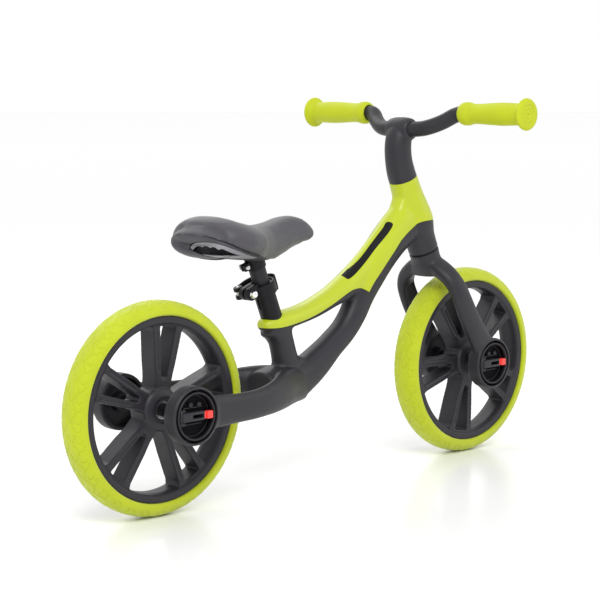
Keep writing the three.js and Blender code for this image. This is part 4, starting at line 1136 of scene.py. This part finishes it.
def puff(obj, voxel, pressure, cap):
    """Fills the pad by a short cloth simulation. No point moves further than cap from its start."""
    remesh = obj.modifiers.new("mesh", "REMESH")
    remesh.mode = "VOXEL"
    remesh.voxel_size = voxel * MM
    bake(obj)
    count = len(obj.data.vertices)
    start = np.empty(count * 3)
    obj.data.vertices.foreach_get("co", start)
    cloth = obj.modifiers.new("fill", "CLOTH")
    cloth.settings.use_pressure = True
    cloth.settings.uniform_pressure_force = pressure
    cloth.settings.effector_weights.gravity = 0
    cloth.settings.quality = 6
    scene = bpy.context.scene
    for number in range(1, 21):
        scene.frame_set(number)
    bake(obj)
    scene.frame_set(1)
    end = np.empty(count * 3)
    obj.data.vertices.foreach_get("co", end)
    step = (end - start).reshape(-1, 3)
    length = np.linalg.norm(step, axis=1)
    step *= np.minimum(1, cap * MM / np.maximum(length, 1e-9))[:, None]
    obj.data.vertices.foreach_set("co", (start.reshape(-1, 3) + step).ravel())
    finer = obj.modifiers.new("finer", "SUBSURF")
    finer.levels = 2
    bake(obj)


def build_saddle():
    cushion = make("cushion", saddle_form(-1.4))
    cut(cushion, under_ridge(GAP))
    puff(cushion, 4.0, 4.0, 1.6)
    piece(cushion, "saddle_pad", "seat", ["saddle_cushion"], "vinyl", sharp=70)

    tray = make("tray", saddle_form(-1.5))
    boolean(tray, under_ridge(-GAP), "INTERSECT")
    room = cut_form(into_seat(bore(14.4, 60, 90)),
                    slab(-200, 0, -60, 60, TRAY_UNDERSIDE + GAP, TRAY_UNDERSIDE + 100, soft=0))
    boolean(tray, room)
    remove(room)

    # The core lies 3.2 mm inside the tray, behind the hand-hold recess, and is coloured black: painted
    # shade for the shadow deep in the recess.
    bezel, shade_core = shrunk(tray, 0.6), shrunk(tray, 3.2)
    oval, recess = smooth_loop(SEAT_OVAL), recess_outline()
    for obj, inset in ((bezel, 0.8), (shade_core, 0.1)):
        boolean(obj, joined(*[flank_tool(oval, side, inset) for side in SIDES]), "INTERSECT")
    for side in SIDES:
        cut(tray, flank_tool(oval, side))
        cut(bezel, flank_tool(recess, side))
        cut(shade_core, flank_tool(recess, side, end=CORE_RECESS_END))
    piece(tray, "saddle_tray_shell", "seat", ["saddle_tray"], "shell")
    piece(bezel, "saddle_tray_bezel", "seat", ["saddle_tray"], "tray")
    # the core's black is painted shade seen through the recess
    piece(shade_core, "saddle_tray_shade_core", "seat", ["saddle_tray"], "black")


# ---- CAD pieces kept as they are

KEPT = {
    "head_bush_lower": "black", "head_bush_upper": "black", "post_end_plug": "black",
    "steerer_tube": "steel", "stem_wedge": "steel", "stem_bolt": "steel",
}


def dress_kept():
    for name, finish in KEPT.items():
        obj = nodes[name]
        obj.data.materials.clear()
        obj.data.materials.append(look[finish])
        for slot in obj.material_slots:
            slot.material = look[finish]
        edge = obj.modifiers.new("edge", "BEVEL")
        edge.width = 0.25 * MM
        edge.segments = 2
        edge.limit_method = "ANGLE"
        edge.angle_limit = math.radians(40)


build_frame()
build_fork()
build_bar()
build_stem()
rim = rim_blank()
tyre = tyre_form()
build_wheel("rear", REAR_AXLE, REAR_FIRST_SPOKE, "frame", REAR_FACE, rim, tyre)
build_wheel("front", FRONT_AXLE, FRONT_FIRST_SPOKE, "steering", FRONT_FACE, rim, tyre)
remove(rim)
build_dial("rear", REAR_AXLE, REAR_FACE)
build_dial("front", FRONT_AXLE, FRONT_FACE)
build_cap("rear", REAR_AXLE, REAR_FACE, "frame")
build_cap("front", FRONT_AXLE, FRONT_FACE, "steering")
build_post()
build_collar()
build_lever()
build_saddle_clamp()
build_saddle()
dress_kept()

# ---- floor, light and camera, metres

WORLD_STRENGTH = 1.0
LIT_POINT = (0, 0, 0.25)
LIGHTS = {  # place, size and watts
    "key": ((-1.5, -1.6, 2.3), (1.6, 1.2), 44),
    "fill": ((1.9, -1.6, 1.2), (1.4, 1.4), 6),
    "back": ((0.6, 2.0, 1.9), (1.8, 1.0), 14),
}
CAMERA_PLACE = (-1.7264, -1.7267, 0.5419)
CAMERA_TARGET = (-0.04225, 0, 0.25857)
CAMERA_LENS = 105.6


def build_floor():
    floor = make("floor", slab(-40000, 40000, -40000, 40000, -20, 0, soft=0))
    paper = surface("floor_paper", (0.96, 0.96, 0.96), 0.22, shade=0.004, depth=0.002, spread=0.03)
    floor.data.materials.append(paper)


def aimed(name, data, place, target):
    obj = bpy.data.objects.new(name, data)
    obj.location = place
    obj.rotation_euler = (Vector(target) - Vector(place)).to_track_quat("-Z", "Y").to_euler()
    bpy.context.scene.collection.objects.link(obj)
    return obj


def build_studio():
    world = bpy.data.worlds.new("studio")
    world.use_nodes = True
    sky = world.node_tree.nodes["Background"]
    sky.inputs["Color"].default_value = (1, 1, 1, 1)
    sky.inputs["Strength"].default_value = WORLD_STRENGTH
    scene = bpy.context.scene
    scene.world = world
    scene.view_settings.view_transform = "Standard"
    for name, (place, size, watts) in LIGHTS.items():
        data = bpy.data.lights.new(name, "AREA")
        data.shape = "RECTANGLE"
        data.size, data.size_y = size
        data.energy = watts
        aimed(name, data, place, LIT_POINT)


def build_camera():
    data = bpy.data.cameras.new("camera")
    data.lens = CAMERA_LENS
    data.sensor_width = 36.0
    data.clip_end = 50
    bpy.context.scene.camera = aimed("camera", data, CAMERA_PLACE, CAMERA_TARGET)


build_floor()
build_studio()
build_camera()
